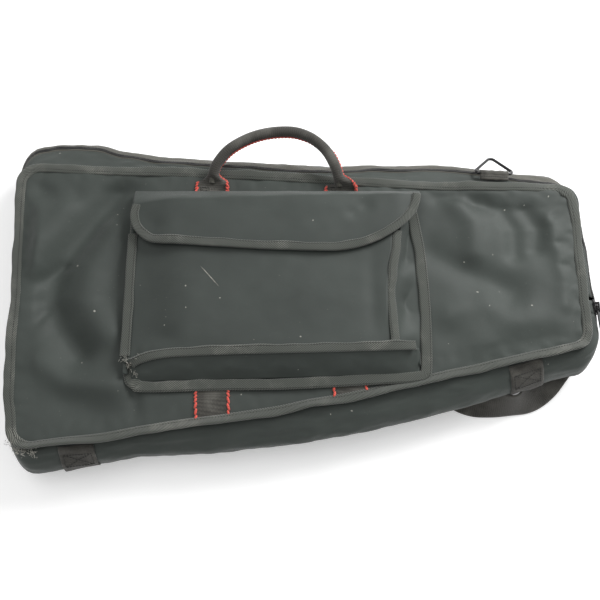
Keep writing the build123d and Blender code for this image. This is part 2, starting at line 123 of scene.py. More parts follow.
# How far the slack edges of the lid have slid outward: (place along the edge, shift), millimetres
LOWER_SLIDE = [(-300, 1), (-216, 5.5), (-155, 6), (-92, 10), (-32, 11), (56, 10.5), (120, 7.5), (168, 5),
               (220, 3), (263, 1), (300, 0)]
UPPER_SLIDE = [(-300, 3), (-200, 3), (-110, 5), (-50, 4.5), (46, 3.5), (102, 1.5), (170, 1), (225, 3.5),
               (280, 5.5), (314, 6)]
WIDE_SLIDE = [(-165, 2), (-136, 5.5), (-103, 9), (-54, 8.5), (17, 4.8), (115, 3.3), (165, 1)]
NARROW_SLIDE = [(-95, -2), (-51, 1), (0, 4), (57, 8), (100, 7)]

# Folds of the front panel: (height, half width, points), all in millimetres
FRONT_FOLDS = [
    (-6.4, 17, [(-196, 142), (-222, 108), (-254, 70), (-276, 40), (-284, 2), (-272, -34), (-250, -64)]),
    (4.0, 20, [(-268, 118), (-284, 84), (-300, 50)]),
    (4.2, 18, [(-208, 80), (-234, 34), (-240, -4), (-218, -44)]),
    (2.6, 13, [(-300, 112), (-302, 62), (-306, 18)]),
    (-2.2, 7, [(-318, 10), (-296, 25), (-270, 42)]),
    (-1.7, 6, [(-318, -38), (-300, -24), (-290, -10)]),
    (-2.4, 13, [(-300, 140), (-278, 126), (-258, 128)]),
    (3.2, 15, [(-296, -70), (-262, -96), (-214, -104)]),
    (-1.6, 8, [(-188, -112), (-190, -160)]),
    (-1.8, 20, [(-262, -120), (-216, -140)]),
    (1.4, 9, [(-120, -138), (-20, -140), (60, -132)]),
    (-3.0, 12, [(214, 88), (240, 76), (252, 52), (250, 22)]),
    (2.4, 14, [(190, 84), (206, 60), (202, 24)]),
    (-2.6, 11, [(268, 74), (280, 50), (274, 26)]),
    (2.0, 11, [(296, 60), (300, 20), (302, -20), (296, -44)]),
    (-3.0, 17, [(156, 26), (186, 6), (214, -10), (240, -26)]),
    (2.6, 18, [(166, -50), (206, -44), (244, -62), (280, -60)]),
    (-1.6, 18, [(168, -66), (196, -52), (226, -50)]),
    (1.8, 22, [(196, -74), (246, -50), (276, -20)]),
    (-1.6, 5, [(312, 70), (300, 62)]),
    (-1.8, 5, [(313, 34), (302, 30)]),
    (-1.6, 5, [(313, 4), (303, 2)]),
    (-2.2, 9, [(168, 98), (200, 97), (226, 92)]),
]


class BagSizes(bpy.types.PropertyGroup):
    """Sizes of the finish that a user may change."""
    fold_depth: FloatProperty(name="Fold depth", description="Share of the folds in the front panel",
                              default=1.0, min=0.0, max=2.0, subtype="FACTOR")
    binding_wave: FloatProperty(name="Binding wave", description="How far the bound edges wander up and down",
                                default=1.1 * MM, unit="LENGTH")
    stitch_pitch: FloatProperty(name="Edge stitch pitch",
                                description="From one raised edge stitch to the next",
                                default=4.0 * MM, unit="LENGTH")
    thread_pitch: FloatProperty(name="Seam stitch pitch", description="From one seam stitch to the next",
                                default=3.2 * MM, unit="LENGTH")
    coil_pitch: FloatProperty(name="Zip tooth pitch", description="From one tooth of the zip to the next",
                              default=1.7 * MM, unit="LENGTH")
    weave_pitch: FloatProperty(name="Weave pitch", description="Thread spacing of the shell fabric",
                               default=0.62 * MM, unit="LENGTH")
    twill_pitch: FloatProperty(name="Twill pitch", description="Spacing of the ridges in the binding tape",
                               default=2.3 * MM, unit="LENGTH")
    floor_size: FloatProperty(name="Floor size", description="Width of the floor",
                              default=14.0, unit="LENGTH")


def colour(name, description, value):
    """One colour of the bag, as linear red, green and blue."""
    return FloatVectorProperty(name=name, description=description, default=value,
                               size=3, min=0.0, max=1.0, subtype="COLOR")


class BagColours(bpy.types.PropertyGroup):
    """Colours of the finish that a user may change."""
    shell: colour("Shell", "Coated nylon of the panels", (0.0345, 0.0422, 0.0372))
    binding: colour("Binding", "Twill tape on the seams", (0.056, 0.061, 0.053))
    worn: colour("Worn fabric", "Rubbed threads and frayed ends", (0.46, 0.45, 0.40))
    webbing: colour("Webbing", "Handle, strips and strap", (0.034, 0.032, 0.027))
    stitching: colour("Edge stitching", "Raised stitches on the webbing", (0.80, 0.105, 0.075))
    tape: colour("Zip tape", "Woven tape of the zip", (0.082, 0.080, 0.066))
    coil: colour("Zip coil", "Nylon teeth of the zip", (0.011, 0.011, 0.011))
    metal: colour("Slider", "Painted zip slider and pull", (0.030, 0.030, 0.031))
    floor: colour("Floor", "Floor and backdrop", (0.93, 0.93, 0.93))


def sizes():
    """The bag's sizes as the user left them."""
    return bpy.context.scene.bag_sizes


def colours():
    """The bag's colours as the user left them."""
    return bpy.context.scene.bag_colours


# ---------------------------------------------------------------- shader expressions


class Value:
    """A shader socket that Python's operators work on, each adding a Math node."""

    def __init__(self, graph, socket):
        self.graph = graph
        self.socket = socket

    def math(self, operation, other=None, swap=False):
        pair = (self,) if other is None else ((other, self) if swap else (self, other))
        return self.graph.node("ShaderNodeMath", {"operation": operation}, dict(enumerate(pair)))

    def __add__(self, other):
        return self.math("ADD", other)

    __radd__ = __add__

    def __sub__(self, other):
        return self.math("SUBTRACT", other)

    def __rsub__(self, other):
        return self.math("SUBTRACT", other, swap=True)

    def __mul__(self, other):
        return self.math("MULTIPLY", other)

    __rmul__ = __mul__

    def __truediv__(self, other):
        return self.math("DIVIDE", other)

    def __pow__(self, other):
        return self.math("POWER", other)

    def wave(self, pitch):
        """A ridge from 0 to 1 every pitch."""
        return (self * (2 * math.pi / pitch)).math("SINE") * 0.5 + 0.5

    def ramp(self, low, high):
        """0 below low, 1 above high, smooth between."""
        settings = {"interpolation_type": "SMOOTHSTEP"}
        return self.graph.node("ShaderNodeMapRange", settings, {0: self, 1: low, 2: high, 3: 0.0, 4: 1.0})


class Graph:
    """A material's nodes, built round one Principled shader."""

    def __init__(self, name, **constants):
        self.material = bpy.data.materials.new(name)
        self.material.use_nodes = True
        self.tree = self.material.node_tree
        self.tree.nodes.clear()
        self.shader = self.tree.nodes.new("ShaderNodeBsdfPrincipled")
        output = self.tree.nodes.new("ShaderNodeOutputMaterial")
        self.tree.links.new(self.shader.outputs[0], output.inputs[0])
        for key, value in constants.items():
            self.shader.inputs[key.replace("_", " ")].default_value = value

    def node(self, kind, settings=None, inputs=None, output=0):
        """Adds a node: its settings first, then the values or links of its sockets."""
        made = self.tree.nodes.new(kind)
        for key, value in (settings or {}).items():
            setattr(made, key, value)
        for key, value in (inputs or {}).items():
            if isinstance(value, Value):
                self.tree.links.new(value.socket, made.inputs[key])
            else:
                made.inputs[key].default_value = value
        return Value(self, made.outputs[output])

    def cloth(self):
        """The piece's own flat cloth, in metres: along and across."""
        place = self.node("ShaderNodeUVMap", {"uv_map": "cloth"})
        split = self.node("ShaderNodeSeparateXYZ", None, {0: place}).socket.node
        return Value(self, split.outputs[0]), Value(self, split.outputs[1])

    def place(self):
        """Where a point is on the bag, in metres."""
        return self.node("ShaderNodeTexCoord", None, None, 3)

    def noise(self, where, scale, detail=3.0, rough=0.55):
        """Even noise from 0 to 1."""
        inputs = {"Vector": where, "Scale": scale, "Detail": detail, "Roughness": rough}
        return self.node("ShaderNodeTexNoise", {"noise_dimensions": "3D"}, inputs)

    def stretch(self, where, scale, turn=0.0):
        """A place turned about Z and scaled on each axis."""
        inputs = {"Vector": where, "Scale": scale, "Rotation": (0, 0, turn)}
        return self.node("ShaderNodeMapping", {"vector_type": "POINT"}, inputs)

    def mix(self, share, low, high):
        """A colour between two colours."""
        made = self.tree.nodes.new("ShaderNodeMix")
        made.data_type = "RGBA"
        for index, value in ((0, share), (6, low), (7, high)):
            if isinstance(value, Value):
                self.tree.links.new(value.socket, made.inputs[index])
            else:
                made.inputs[index].default_value = (*value, 1.0) if index else value
        return Value(self, made.outputs[2])

    def bump(self, height, depth, strength=1.0):
        """A normal from a height of 0 to 1 and the depth it stands for, in metres."""
        return self.node("ShaderNodeBump", None, {"Strength": strength, "Distance": depth, "Height": height})

    def finish(self, **links):
        """Links what varies over the surface to the shader."""
        for key, value in links.items():
            self.tree.links.new(value.socket, self.shader.inputs[key.replace("_", " ")])
        return self.material


MADE = {}


def finish_of(name):
    """The material of that name, made once."""
    if name not in MADE:
        MADE[name] = MATERIALS[name]()
    return MADE[name]


def scaled(tint, share):
    """A colour made lighter or darker."""
    return tuple(min(1.0, channel * share) for channel in tint)


def shell_nylon():
    """Coated nylon: a fine plain weave, a soft sheen, painted sheen in broad patches and pale streaks, dust
    and a few specks of lint.
    """
    graph = Graph("shell_nylon", Specular_IOR_Level=0.34, Sheen_Weight=0.10, Sheen_Roughness=0.55)
    along, across = graph.cloth()
    place = graph.place()
    base = colours().shell
    broad = graph.noise(place, 7.0, 3.0)
    fine = graph.noise(place, 60.0, 4.0)
    threads = along.wave(sizes().weave_pitch) * across.wave(sizes().weave_pitch)
    dust = graph.noise(place, 420.0, 2.0).ramp(0.70, 0.78) * graph.noise(place, 26.0, 2.0).ramp(0.50, 0.68)
    speck = graph.noise(place, 240.0, 0.0).ramp(0.868, 0.90)
    # pale streaks of painted sheen: a lighter copy of the nylon in long stretched patches
    sheen_streaks = graph.noise(graph.stretch(place, (14.0, 55.0, 30.0), 0.7), 1.0, 5.0, 0.6).ramp(0.60, 0.82)
    # painted sheen: broad noise makes the nylon lighter and darker in patches, fine noise and the streaks
    # make it lighter
    tint = graph.mix(broad.ramp(0.3, 0.7), scaled(base, 0.84), scaled(base, 1.12))
    tint = graph.mix(fine * 0.22, tint, scaled(base, 1.5))
    tint = graph.mix(sheen_streaks * 0.16, tint, scaled(base, 2.4))
    tint = graph.mix(dust * 0.20, tint, tuple(colours().worn))
    tint = graph.mix(speck * 0.5, tint, scaled(colours().worn, 1.1))
    rough = 0.56 + broad * 0.10 - fine * 0.06 + dust * 0.15
    creases = graph.noise(place, 48.0, 5.0, 0.62)
    height = threads * 0.45 + creases * 2.4
    normal = graph.bump(height, 0.22 * MM, 0.55)
    return graph.finish(Base_Color=tint, Roughness=rough, Normal=normal)


def binding_tape():
    """Twill tape: diagonal ridges with painted highlights on their crests and painted shade between them,
    worn pale on their crests and at the corners.
    """
    graph = Graph("binding_tape", Specular_IOR_Level=0.35, Sheen_Weight=0.25, Sheen_Roughness=0.5)
    along, across = graph.cloth()
    place = graph.place()
    base = colours().binding
    ridge = (along * 0.80 + across * 1.05).wave(sizes().twill_pitch)
    thread = across.wave(0.9 * MM)
    worn = graph.noise(place, 22.0, 4.0, 0.65).ramp(0.50, 0.74)
    fuzz = graph.noise(place, 900.0, 2.0)
    # painted highlight on the ridge crests and painted shade in the grooves between them
    tint = graph.mix(ridge.ramp(0.15, 0.85), scaled(base, 0.55), scaled(base, 1.75))
    tint = graph.mix(fuzz * 0.5, tint, scaled(base, 1.3))
    tint = graph.mix(ridge.ramp(0.45, 1.0) * worn * 0.42, tint, tuple(colours().worn))
    height = ridge + thread * 0.22 + fuzz * 0.45
    normal = graph.bump(height, 0.42 * MM, 0.9)
    rough = 0.74 + fuzz * 0.15
    return graph.finish(Base_Color=tint, Roughness=rough, Normal=normal)


def webbing():
    """Heavy woven webbing: crosswise ribs broken up by lengthwise warp threads, with painted shade between
    the ribs and painted highlights on them.
    """
    graph = Graph("webbing", Specular_IOR_Level=0.40, Sheen_Weight=0.18, Sheen_Roughness=0.5)
    along, across = graph.cloth()
    place = graph.place()
    base = colours().webbing
    warp = across.wave(1.5 * MM)
    shift = warp.ramp(0.45, 0.55) * MM
    rib = (along + shift).wave(2.5 * MM)
    fuzz = graph.noise(place, 700.0, 2.0)
    grime = graph.noise(place, 30.0, 4.0).ramp(0.45, 0.75)
    # painted shade in the grooves between the ribs and painted highlight on their crests
    tint = graph.mix(rib * (warp * 0.4 + 0.6), scaled(base, 0.30), scaled(base, 2.5))
    tint = graph.mix(fuzz * 0.35, tint, scaled(base, 1.7))
    tint = graph.mix(grime * 0.16, tint, tuple(colours().worn))
    height = rib * (warp * 0.5 + 0.5) + fuzz * 0.3
    normal = graph.bump(height, 0.5 * MM, 0.95)
    return graph.finish(Base_Color=tint, Roughness=0.66 + fuzz * 0.2, Normal=normal)


def edge_stitching():
    """Coral thread, twisted, with painted shade between its strands and a little dirt in patches."""
    graph = Graph("edge_stitching", Specular_IOR_Level=0.40, Sheen_Weight=0.30, Sheen_Roughness=0.4)
    place = graph.place()
    base = colours().stitching
    strand = graph.noise(graph.stretch(place, (900.0, 900.0, 900.0)), 1.0, 2.0)
    grime = graph.noise(place, 60.0, 3.0).ramp(0.45, 0.8)
    # painted shade: the thread is darker where its strand bump is low
    tint = graph.mix(strand.ramp(0.35, 0.7), scaled(base, 0.55), scaled(base, 1.15))
    tint = graph.mix(grime * 0.4, tint, scaled(colours().binding, 1.5))
    normal = graph.bump(strand, 0.3 * MM, 0.8)
    return graph.finish(Base_Color=tint, Roughness=0.62 + strand * 0.15, Normal=normal)


def seam_thread():
    """Black sewing thread."""
    graph = Graph("seam_thread", Specular_IOR_Level=0.40)
    strand = graph.noise(graph.place(), 1500.0, 1.0)
    tint = graph.mix(strand, (0.006, 0.006, 0.006), (0.030, 0.031, 0.028))
    return graph.finish(Base_Color=tint, Roughness=0.55 + strand * 0.2)


def frayed_thread():
    """Pale threads worn out of the binding."""
    graph = Graph("frayed_thread", Specular_IOR_Level=0.30)
    strand = graph.noise(graph.place(), 800.0, 2.0)
    tint = graph.mix(strand.ramp(0.35, 0.7), scaled(colours().worn, 0.30), scaled(colours().worn, 1.25))
    return graph.finish(Base_Color=tint, Roughness=0.8 + strand * 0.1)


def zip_tape():
    """Woven polyester tape with a fine herringbone."""
    graph = Graph("zip_tape", Specular_IOR_Level=0.35, Sheen_Weight=0.20, Sheen_Roughness=0.5)
    along, across = graph.cloth()
    place = graph.place()
    base = colours().tape
    turn = across.wave(3.6 * MM).ramp(0.45, 0.55)
    bone = (along + across * 0.5 - across * turn).wave(1.2 * MM)
    fuzz = graph.noise(place, 500.0, 3.0)
    broad = graph.noise(place, 18.0, 2.0)
    tint = graph.mix(bone * 0.7 + fuzz * 0.3, scaled(base, 0.60), scaled(base, 1.35))
    tint = graph.mix(broad.ramp(0.35, 0.7) * 0.4, tint, scaled(base, 0.7))
    normal = graph.bump(bone + fuzz * 0.5, 0.22 * MM, 0.8)
    return graph.finish(Base_Color=tint, Roughness=0.72 + fuzz * 0.15, Normal=normal)


def zip_coil():
    """Black nylon monofilament."""
    graph = Graph("zip_coil", Specular_IOR_Level=0.5)
    place = graph.place()
    dust = graph.noise(place, 200.0, 3.0).ramp(0.5, 0.8)
    tint = graph.mix(dust * 0.25, tuple(colours().coil), scaled(colours().worn, 0.3))
    return graph.finish(Base_Color=tint, Roughness=0.36 + dust * 0.3)


def black_wire():
    """Black-enamelled steel wire, chipped a little along its bends."""
    graph = Graph("black_wire", Specular_IOR_Level=0.5, Coat_Roughness=0.2)
    place = graph.place()
    chip = graph.noise(place, 170.0, 4.0, 0.7).ramp(0.63, 0.70)
    grain = graph.noise(place, 600.0, 2.0)
    tint = graph.mix(chip, (0.010, 0.010, 0.011), (0.20, 0.19, 0.18))
    normal = graph.bump(grain - chip * 1.5, 0.06 * MM, 0.7)
    return graph.finish(Base_Color=tint, Metallic=chip, Roughness=0.26 + chip * 0.2 + grain * 0.08,
                        Normal=normal)


def slider_metal():
    """Dark painted zinc with a few rubbed edges."""
    graph = Graph("slider_metal", Specular_IOR_Level=0.5)
    place = graph.place()
    rub = graph.noise(place, 320.0, 3.0, 0.6).ramp(0.60, 0.72)
    grain = graph.noise(place, 1400.0, 2.0)
    tint = graph.mix(rub, tuple(colours().metal), (0.32, 0.30, 0.27))
    normal = graph.bump(grain, 0.04 * MM, 0.5)
    return graph.finish(Base_Color=tint, Metallic=0.55 + rub * 0.4, Roughness=0.34 + grain * 0.12,
                        Normal=normal)


def hook_and_loop():
    """Fuzzy black closure tape."""
    graph = Graph("hook_and_loop", Specular_IOR_Level=0.25, Sheen_Weight=0.3, Sheen_Roughness=0.4)
    place = graph.place()
    fuzz = graph.noise(place, 1300.0, 4.0, 0.7)
    rows = graph.cloth()[0].wave(1.6 * MM)
    tint = graph.mix(fuzz.ramp(0.3, 0.75), (0.006, 0.006, 0.006), (0.050, 0.050, 0.048))
    normal = graph.bump(fuzz + rows * 0.5, 0.6 * MM, 1.0)
    return graph.finish(Base_Color=tint, Roughness=0.85 + fuzz * 0.1, Normal=normal)


def pale_floor():
    """Plain white floor."""
    graph = Graph("pale_floor", Specular_IOR_Level=0.1)
    tone = graph.noise(graph.place(), 3.0, 2.0)
    tint = graph.mix(tone, scaled(colours().floor, 0.995), scaled(colours().floor, 1.0))
    graph.shader.inputs["Emission Strength"].default_value = 0.30
    return graph.finish(Base_Color=tint, Roughness=0.8 + tone * 0.05, Emission_Color=tint)


MATERIALS = {function.__name__: function for function in (
    shell_nylon, binding_tape, webbing, edge_stitching, seam_thread, frayed_thread, zip_tape, zip_coil,
    black_wire, slider_metal, hook_and_loop, pale_floor)}


# ---------------------------------------------------------------- shape helpers


def smooth(value):
    """0 below 0, 1 above 1, smooth between."""
    value = min(1.0, max(0.0, value))
    return value * value * (3 - 2 * value)


def mixed(low, high, share):
    """A value between two values."""
    return low + (high - low) * share


def curve_at(points, position):
    """A smooth curve through points of any length, at a position counted in points."""
    last = len(points) - 1
    index = min(int(max(position, 0.0)), last - 1)
    share = min(max(position - index, 0.0), 1.0)
    around = [points[min(max(index + step, 0), last)] for step in (-1, 0, 1, 2)]
    made = []
    for a, b, c, d in zip(*around):
        made.append(b + 0.5 * share * (c - a + share * (2 * a - 5 * b + 4 * c - d
                                                         + share * (3 * (b - c) + d - a))))
    return made


def along_curve(points, index, count):
    """The curve's point at one of count even steps."""
    return curve_at(points, (len(points) - 1) * index / count)


def heading(spots, index):
    """The direction of a line of points at one of them."""
    return (spots[min(index + 1, len(spots) - 1)] - spots[max(index - 1, 0)]).normalized()


def table_at(table, x):
    """The rest of a table's row at x, smooth between its rows."""
    if x <= table[0][0]:
        return table[0][1:]
    for low, high in zip(table, table[1:]):
        if x <= high[0]:
            share = smooth((x - low[0]) / (high[0] - low[0]))
            return [mixed(a, b, share) for a, b in zip(low[1:], high[1:])]
    return table[-1][1:]


def near_line(points, x, y):
    """How far a place is from a line of points."""
    best = 1e9
    for (ax, ay), (bx, by) in zip(points, points[1:]):
        dx, dy = bx - ax, by - ay
        share = ((x - ax) * dx + (y - ay) * dy) / (dx * dx + dy * dy)
        share = min(1.0, max(0.0, share))
        best = min(best, math.hypot(x - ax - share * dx, y - ay - share * dy))
    return best


def dents(rows, a, c):
    """Soft dents and swellings at a place; each row is (height, a, its half length, c, its half width)."""
    return sum(height * math.exp(-((a - at_a) / long) ** 2 - ((c - at_c) / wide) ** 2)
               for height, at_a, long, at_c, wide in rows)


def ripple(scale, depth, *where):
    """Even noise about zero, of one depth, at a place."""
    return noise.noise(Vector(where) * scale) * depth


class Station:
    """A place on the seam line: its point, outward direction and distance round it."""

    def __init__(self, point, normal, distance):
        self.point = point
        self.normal = normal
        self.distance = distance
        self.section = None


def seam_line(step, arc_steps):
    """Stations round the seam, anticlockwise from above, from the middle of the lower long side."""
    wide_y = SEAM_MID_Y + TAPER * SEAM_X
    narrow_y = SEAM_MID_Y - TAPER * SEAM_X
    corners = [Vector((SEAM_X, -narrow_y)), Vector((SEAM_X, narrow_y)),
               Vector((-SEAM_X, wide_y)), Vector((-SEAM_X, -wide_y))]
    side = Vector((TAPER, -1.0)).normalized()
    normals = [side, Vector((1, 0)), Vector((side.x, -side.y)), Vector((-1, 0))]
    places = [(Vector((0, -SEAM_MID_Y)), side)]
    for index, corner in enumerate(corners):
        before, after = normals[index], normals[(index + 1) % 4]
        centre = corner - (before + after) * (SEAM_RADIUS / (1 + before.dot(after)))
        turn = before.angle(after)
        start = centre + before * SEAM_RADIUS
        places += run_between(places[-1][0], start, before, step)
        for count in range(1, arc_steps + 1):
            normal = before.copy()
            normal.rotate(Matrix.Rotation(turn * count / arc_steps, 2))
            places.append((centre + normal * SEAM_RADIUS, normal))
    places += run_between(places[-1][0], places[0][0], side, step)
    stations, distance = [], 0.0
    for index, (point, normal) in enumerate(places):
        distance += (point - places[index - 1][0]).length if index else 0.0
        stations.append(Station(point, normal, distance))
    return stations


def run_between(start, end, normal, step):
    """Evenly spaced places from start, which is left out, to end."""
    count = max(1, round((end - start).length / step))
    return [(start.lerp(end, index / count), normal) for index in range(1, count + 1)]


SEAM = seam_line(4 * MM, 12)


def cut_run(first, last):
    """The stations of the seam from the first that fits to the last."""
    chosen = [index for index, station in enumerate(SEAM) if first(station)]
    ends = [index for index, station in enumerate(SEAM) if last(station)]
    return SEAM[chosen[0]:ends[-1] + 1]


def on_end(station, side):
    """True on the straight of the wide end (-1) or the narrow end (1)."""
    return abs(station.normal.x - side) < 0.01


def zip_run(extra):
    """The stations that the zip runs along, from its narrow stop round the top to its wide one."""
    return cut_run(lambda s: on_end(s, 1) and s.point.y >= NARROW_STOP_Y + extra,
                   lambda s: on_end(s, -1) and s.point.y >= WIDE_STOP_Y + extra)


def lower_run():
    """The stations below the zip's two stops, from the wide one round the lower side."""
    narrow = [i for i, s in enumerate(SEAM) if on_end(s, 1) and s.point.y >= NARROW_STOP_Y][0]
    wide = [i for i, s in enumerate(SEAM) if on_end(s, -1) and s.point.y >= WIDE_STOP_Y][-1]
    return SEAM[wide:-1] + SEAM[:narrow + 1]


def gusset_section(station):
    """The gusset's section at a station: (height, bulge) points in metres."""
    if station.section:
        return station.section
    turn = smooth((abs(station.normal.x) - 0.12) / 0.88)
    end_shares = WIDE_SHARES if station.normal.x < 0 else NARROW_SHARES
    x = station.point.x / MM
    slump, drop = 0.0, 0.0
    if station.normal.y < 0:
        long_share = 0.76 + 0.44 * max(0.0, 1 - ((x - 40) / 235) ** 2)
    else:
        long_share = 1.0
        slump, drop = (value * (1 - turn) for value in table_at(SLUMP, x))
    made = []
    weights = (0.0, 0.15, 0.45, 0.85, 1.0, 0.62, 0.0)
    for (height, bulge), weight, end_share in zip(SECTION, weights, end_shares):
        share = mixed(long_share, end_share, turn)
        made.append(((height - drop * weight) * MM, (bulge * share + slump * weight) * MM))
    station.section = made
    return made


def gusset_place(station, position, lift=0.0):
    """A point of the gusset: position counts the section's points from the back seam."""
    section = gusset_section(station)
    height, bulge = curve_at(section, position)
    ahead = curve_at(section, min(position + 0.05, len(section) - 1))
    behind = curve_at(section, max(position - 0.05, 0.0))
    rise, out = ahead[0] - behind[0], ahead[1] - behind[1]
    size = math.hypot(rise, out) or 1.0
    edge = smooth(min(position, len(section) - 1 - position) / 1.2)
    crease = ripple(1.0, 1.6 * MM, station.distance * 26, position * 0.9, 2.0)
    crease += ripple(1.0, 0.8 * MM, station.distance * 70, position * 2.2, 5.0)
    raised = lift + crease * edge
    out_way, up_way = rise / size, -out / size
    flat = station.point + station.normal * (bulge + raised * out_way)
    return Vector((flat.x, flat.y, height + raised * up_way))


def grid(columns, rows, place, bm=None):
    """A bmesh grid, each vertex where place(i, j) says; place also gives its flat cloth position."""
    bm = bm or bmesh.new()
    cloth = bm.loops.layers.uv.get("cloth") or bm.loops.layers.uv.new("cloth")
    made = bmesh.ops.create_grid(bm, x_segments=columns, y_segments=rows, size=0.5, calc_uvs=True)["verts"]
    flat = {}
    for index, vert in enumerate(made):
        vert.co, flat[vert] = place(index % (columns + 1), index // (columns + 1))
    for face in {face for vert in made for face in vert.link_faces}:
        for loop in face.loops:
            loop[cloth].uv = flat[loop.vert]
    return bm


def closed(bm):
    """Joins a wrapped grid's edges and turns its faces outward."""
    bmesh.ops.remove_doubles(bm, verts=bm.verts, dist=1e-6)
    bmesh.ops.recalc_face_normals(bm, faces=bm.faces)
    return bm


def capped(bm):
    """Closes the two open ends of a wrapped grid."""
    bmesh.ops.remove_doubles(bm, verts=bm.verts, dist=1e-6)
    bmesh.ops.holes_fill(bm, edges=[edge for edge in bm.edges if edge.is_boundary], sides=0)
    return closed(bm)


def turned_over(bm):
    """The same sheet with its faces the other way."""
    bmesh.ops.reverse_faces(bm, faces=bm.faces)
    return bm


def piece(name, bm, material, body=None, replaces=(), thick=0.0, slack=False, slot=None):
    """Makes an object of a bmesh, gives a sheet its thickness inward and puts it on its body."""
    slot = slot or material
    if slack:
        for vertex in bm.verts:
            vertex.co = slide(vertex.co)
    mesh = bpy.data.meshes.new(name)
    bm.to_mesh(mesh)
    bm.free()
    for polygon in mesh.polygons:
        polygon.use_smooth = True
    made = bpy.data.objects.new(name, mesh)
    bpy.context.scene.collection.objects.link(made)
    mesh.materials.append(finish_of(material))
    if thick:
        wall = made.modifiers.new("wall", "SOLIDIFY")
        wall.thickness = thick
        wall.offset = -1.0
    if body:
        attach(made, body)
    if replaces:
        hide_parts(*replaces)
    return made


def band_section(width, thick, crown=0.25 * MM, corner=0.32):
    """A folded tape's rounded section as (across, up) points, anticlockwise from its inner edge."""
    half = thick / 2
    lower = [(0.0, -half * corner), (0.04, -half * 0.9), (0.18, -half), (0.5, -half - crown), (0.82, -half),
             (0.95, -half * 0.8), (1.0, 0.0)]
    upper = [(0.95, half * 0.8), (0.82, half), (0.5, half + crown), (0.18, half), (0.04, half * 0.9),
             (0.0, half * corner)]
    return [(share * width, up) for share, up in lower + upper]


def tape(count, frame_at, section, closed_run=False):
    """A folded tape along a run: frame_at(i) gives its inner edge, across and up directions and distance."""
    ring = section + section[:1]
    lengths = [0.0]
    for (a, b), (c, d) in zip(ring, ring[1:]):
        lengths.append(lengths[-1] + math.hypot(c - a, d - b))

    def place(i, j):
        origin, across, up, distance = frame_at(i)
        side, rise = ring[j]
        return origin + across * side + up * rise, (distance, lengths[j])

    bm = grid(count, len(ring) - 1, place)
    return closed(bm) if closed_run else capped(bm)


BATCH = 40                 # stitches built in a small bmesh before they join the large one


def stitches(bm, line, pitch, length, radius, lean=0.0, jitter=0.0, seed=1):
    """Rows of short raised stitches along a line of (point, up direction)."""
    chance = random.Random(seed)
    distance, wanted = 0.0, pitch / 2
    batch, in_batch = bmesh.new(), 0
    for (start, up), (end, _) in zip(line, line[1:]):
        run = (end - start).length
        if run < 1e-9:
            continue
        along = (end - start) / run
        while wanted <= distance + run:
            middle = start + along * (wanted - distance)
            across = up.cross(along).normalized()
            turn = lean + chance.uniform(-jitter, jitter)
            way = (along * math.cos(turn) + across * math.sin(turn)).normalized()
            side = up.cross(way).normalized()
            matrix = Matrix((way, side, up.normalized())).transposed().to_4x4()
            matrix.translation = middle
            size = Matrix.Diagonal((length / 2, radius, radius, 1.0))
            bmesh.ops.create_uvsphere(batch, u_segments=6, v_segments=4, radius=1.0,
                                      matrix=matrix @ size @ Matrix.Rotation(math.pi / 2, 4, "Y"))
            wanted += pitch
            in_batch += 1
            if in_batch == BATCH:
                batch, in_batch = join_batch(bm, batch), 0
        distance += run
    join_batch(bm, batch).free()
    return bm


def join_batch(bm, batch):
    """Adds a small bmesh to a large one, which is quicker than building in the large one."""
    mesh = bpy.data.meshes.new("batch")
    batch.to_mesh(mesh)
    batch.free()
    bm.from_mesh(mesh)
    bpy.data.meshes.remove(mesh)
    return bmesh.new()


def stitched(bm, name, body, material="seam_thread", slot="shell_nylon", replaces=(), slack=False):
    """A piece of stitches on a body."""
    return piece(name, bm, material, body, replaces, slack=slack, slot=slot)


def tape_seam(name, line, body, slack=False):
    """The row of stitches that holds a folded tape."""
    threads = stitches(bmesh.new(), line, sizes().thread_pitch, 2.4 * MM, 0.38 * MM)
    stitched(threads, name + "_seam", body, slot="binding_tape", slack=slack)


# ---------------------------------------------------------------- panels and bound seams


def seam_inset(x, y):
    """How far inside the seam line a place is."""
    long_side = (SEAM_MID_Y - TAPER * x - abs(y)) * TAPER_COS
    return min(SEAM_X - abs(x), long_side)


def slide(spot):
    """Where a point of the lid's slack edge has slid to."""
    x, y, z = spot.x / MM, spot.y / MM, spot.z / MM
    inset = seam_inset(spot.x, spot.y) / MM
    edge = 1 - smooth(inset / 15)
    high = smooth((z - 53) / 5) * edge
    low = smooth((z - 22) / 34) * edge
    out = Vector((0, 0, 0))
    out.y -= table_at(LOWER_SLIDE, x)[0] * smooth((-y - 45) / 25) * low
    out.y += table_at(UPPER_SLIDE, x)[0] * smooth((y - 50) / 25) * high
    out.x -= table_at(WIDE_SLIDE, y)[0] * smooth((-x - 290) / 18) * high
    out.x += table_at(NARROW_SLIDE, y)[0] * smooth((x - 290) / 18) * high
    return spot + out * MM


def pocket_point(a, c, z):
    """A point in the pocket's frame, put on the bag."""
    return POCKET_PLACE @ Vector((a, c, z))


def pocket_spot(a, c, z):
    """The same, from a, c and z in millimetres."""
    return pocket_point(a * MM, c * MM, z * MM)


POCKET_BACK = POCKET_PLACE.inverted()


def pocket_cover(x, y):
    """1 under the pocket, 0 well outside it."""
    place = POCKET_BACK @ Vector((x, y, 0))
    inside = min(166 * MM - abs(place.x), 114 * MM - abs(place.y))
    return smooth((inside + 6 * MM) / (16 * MM))


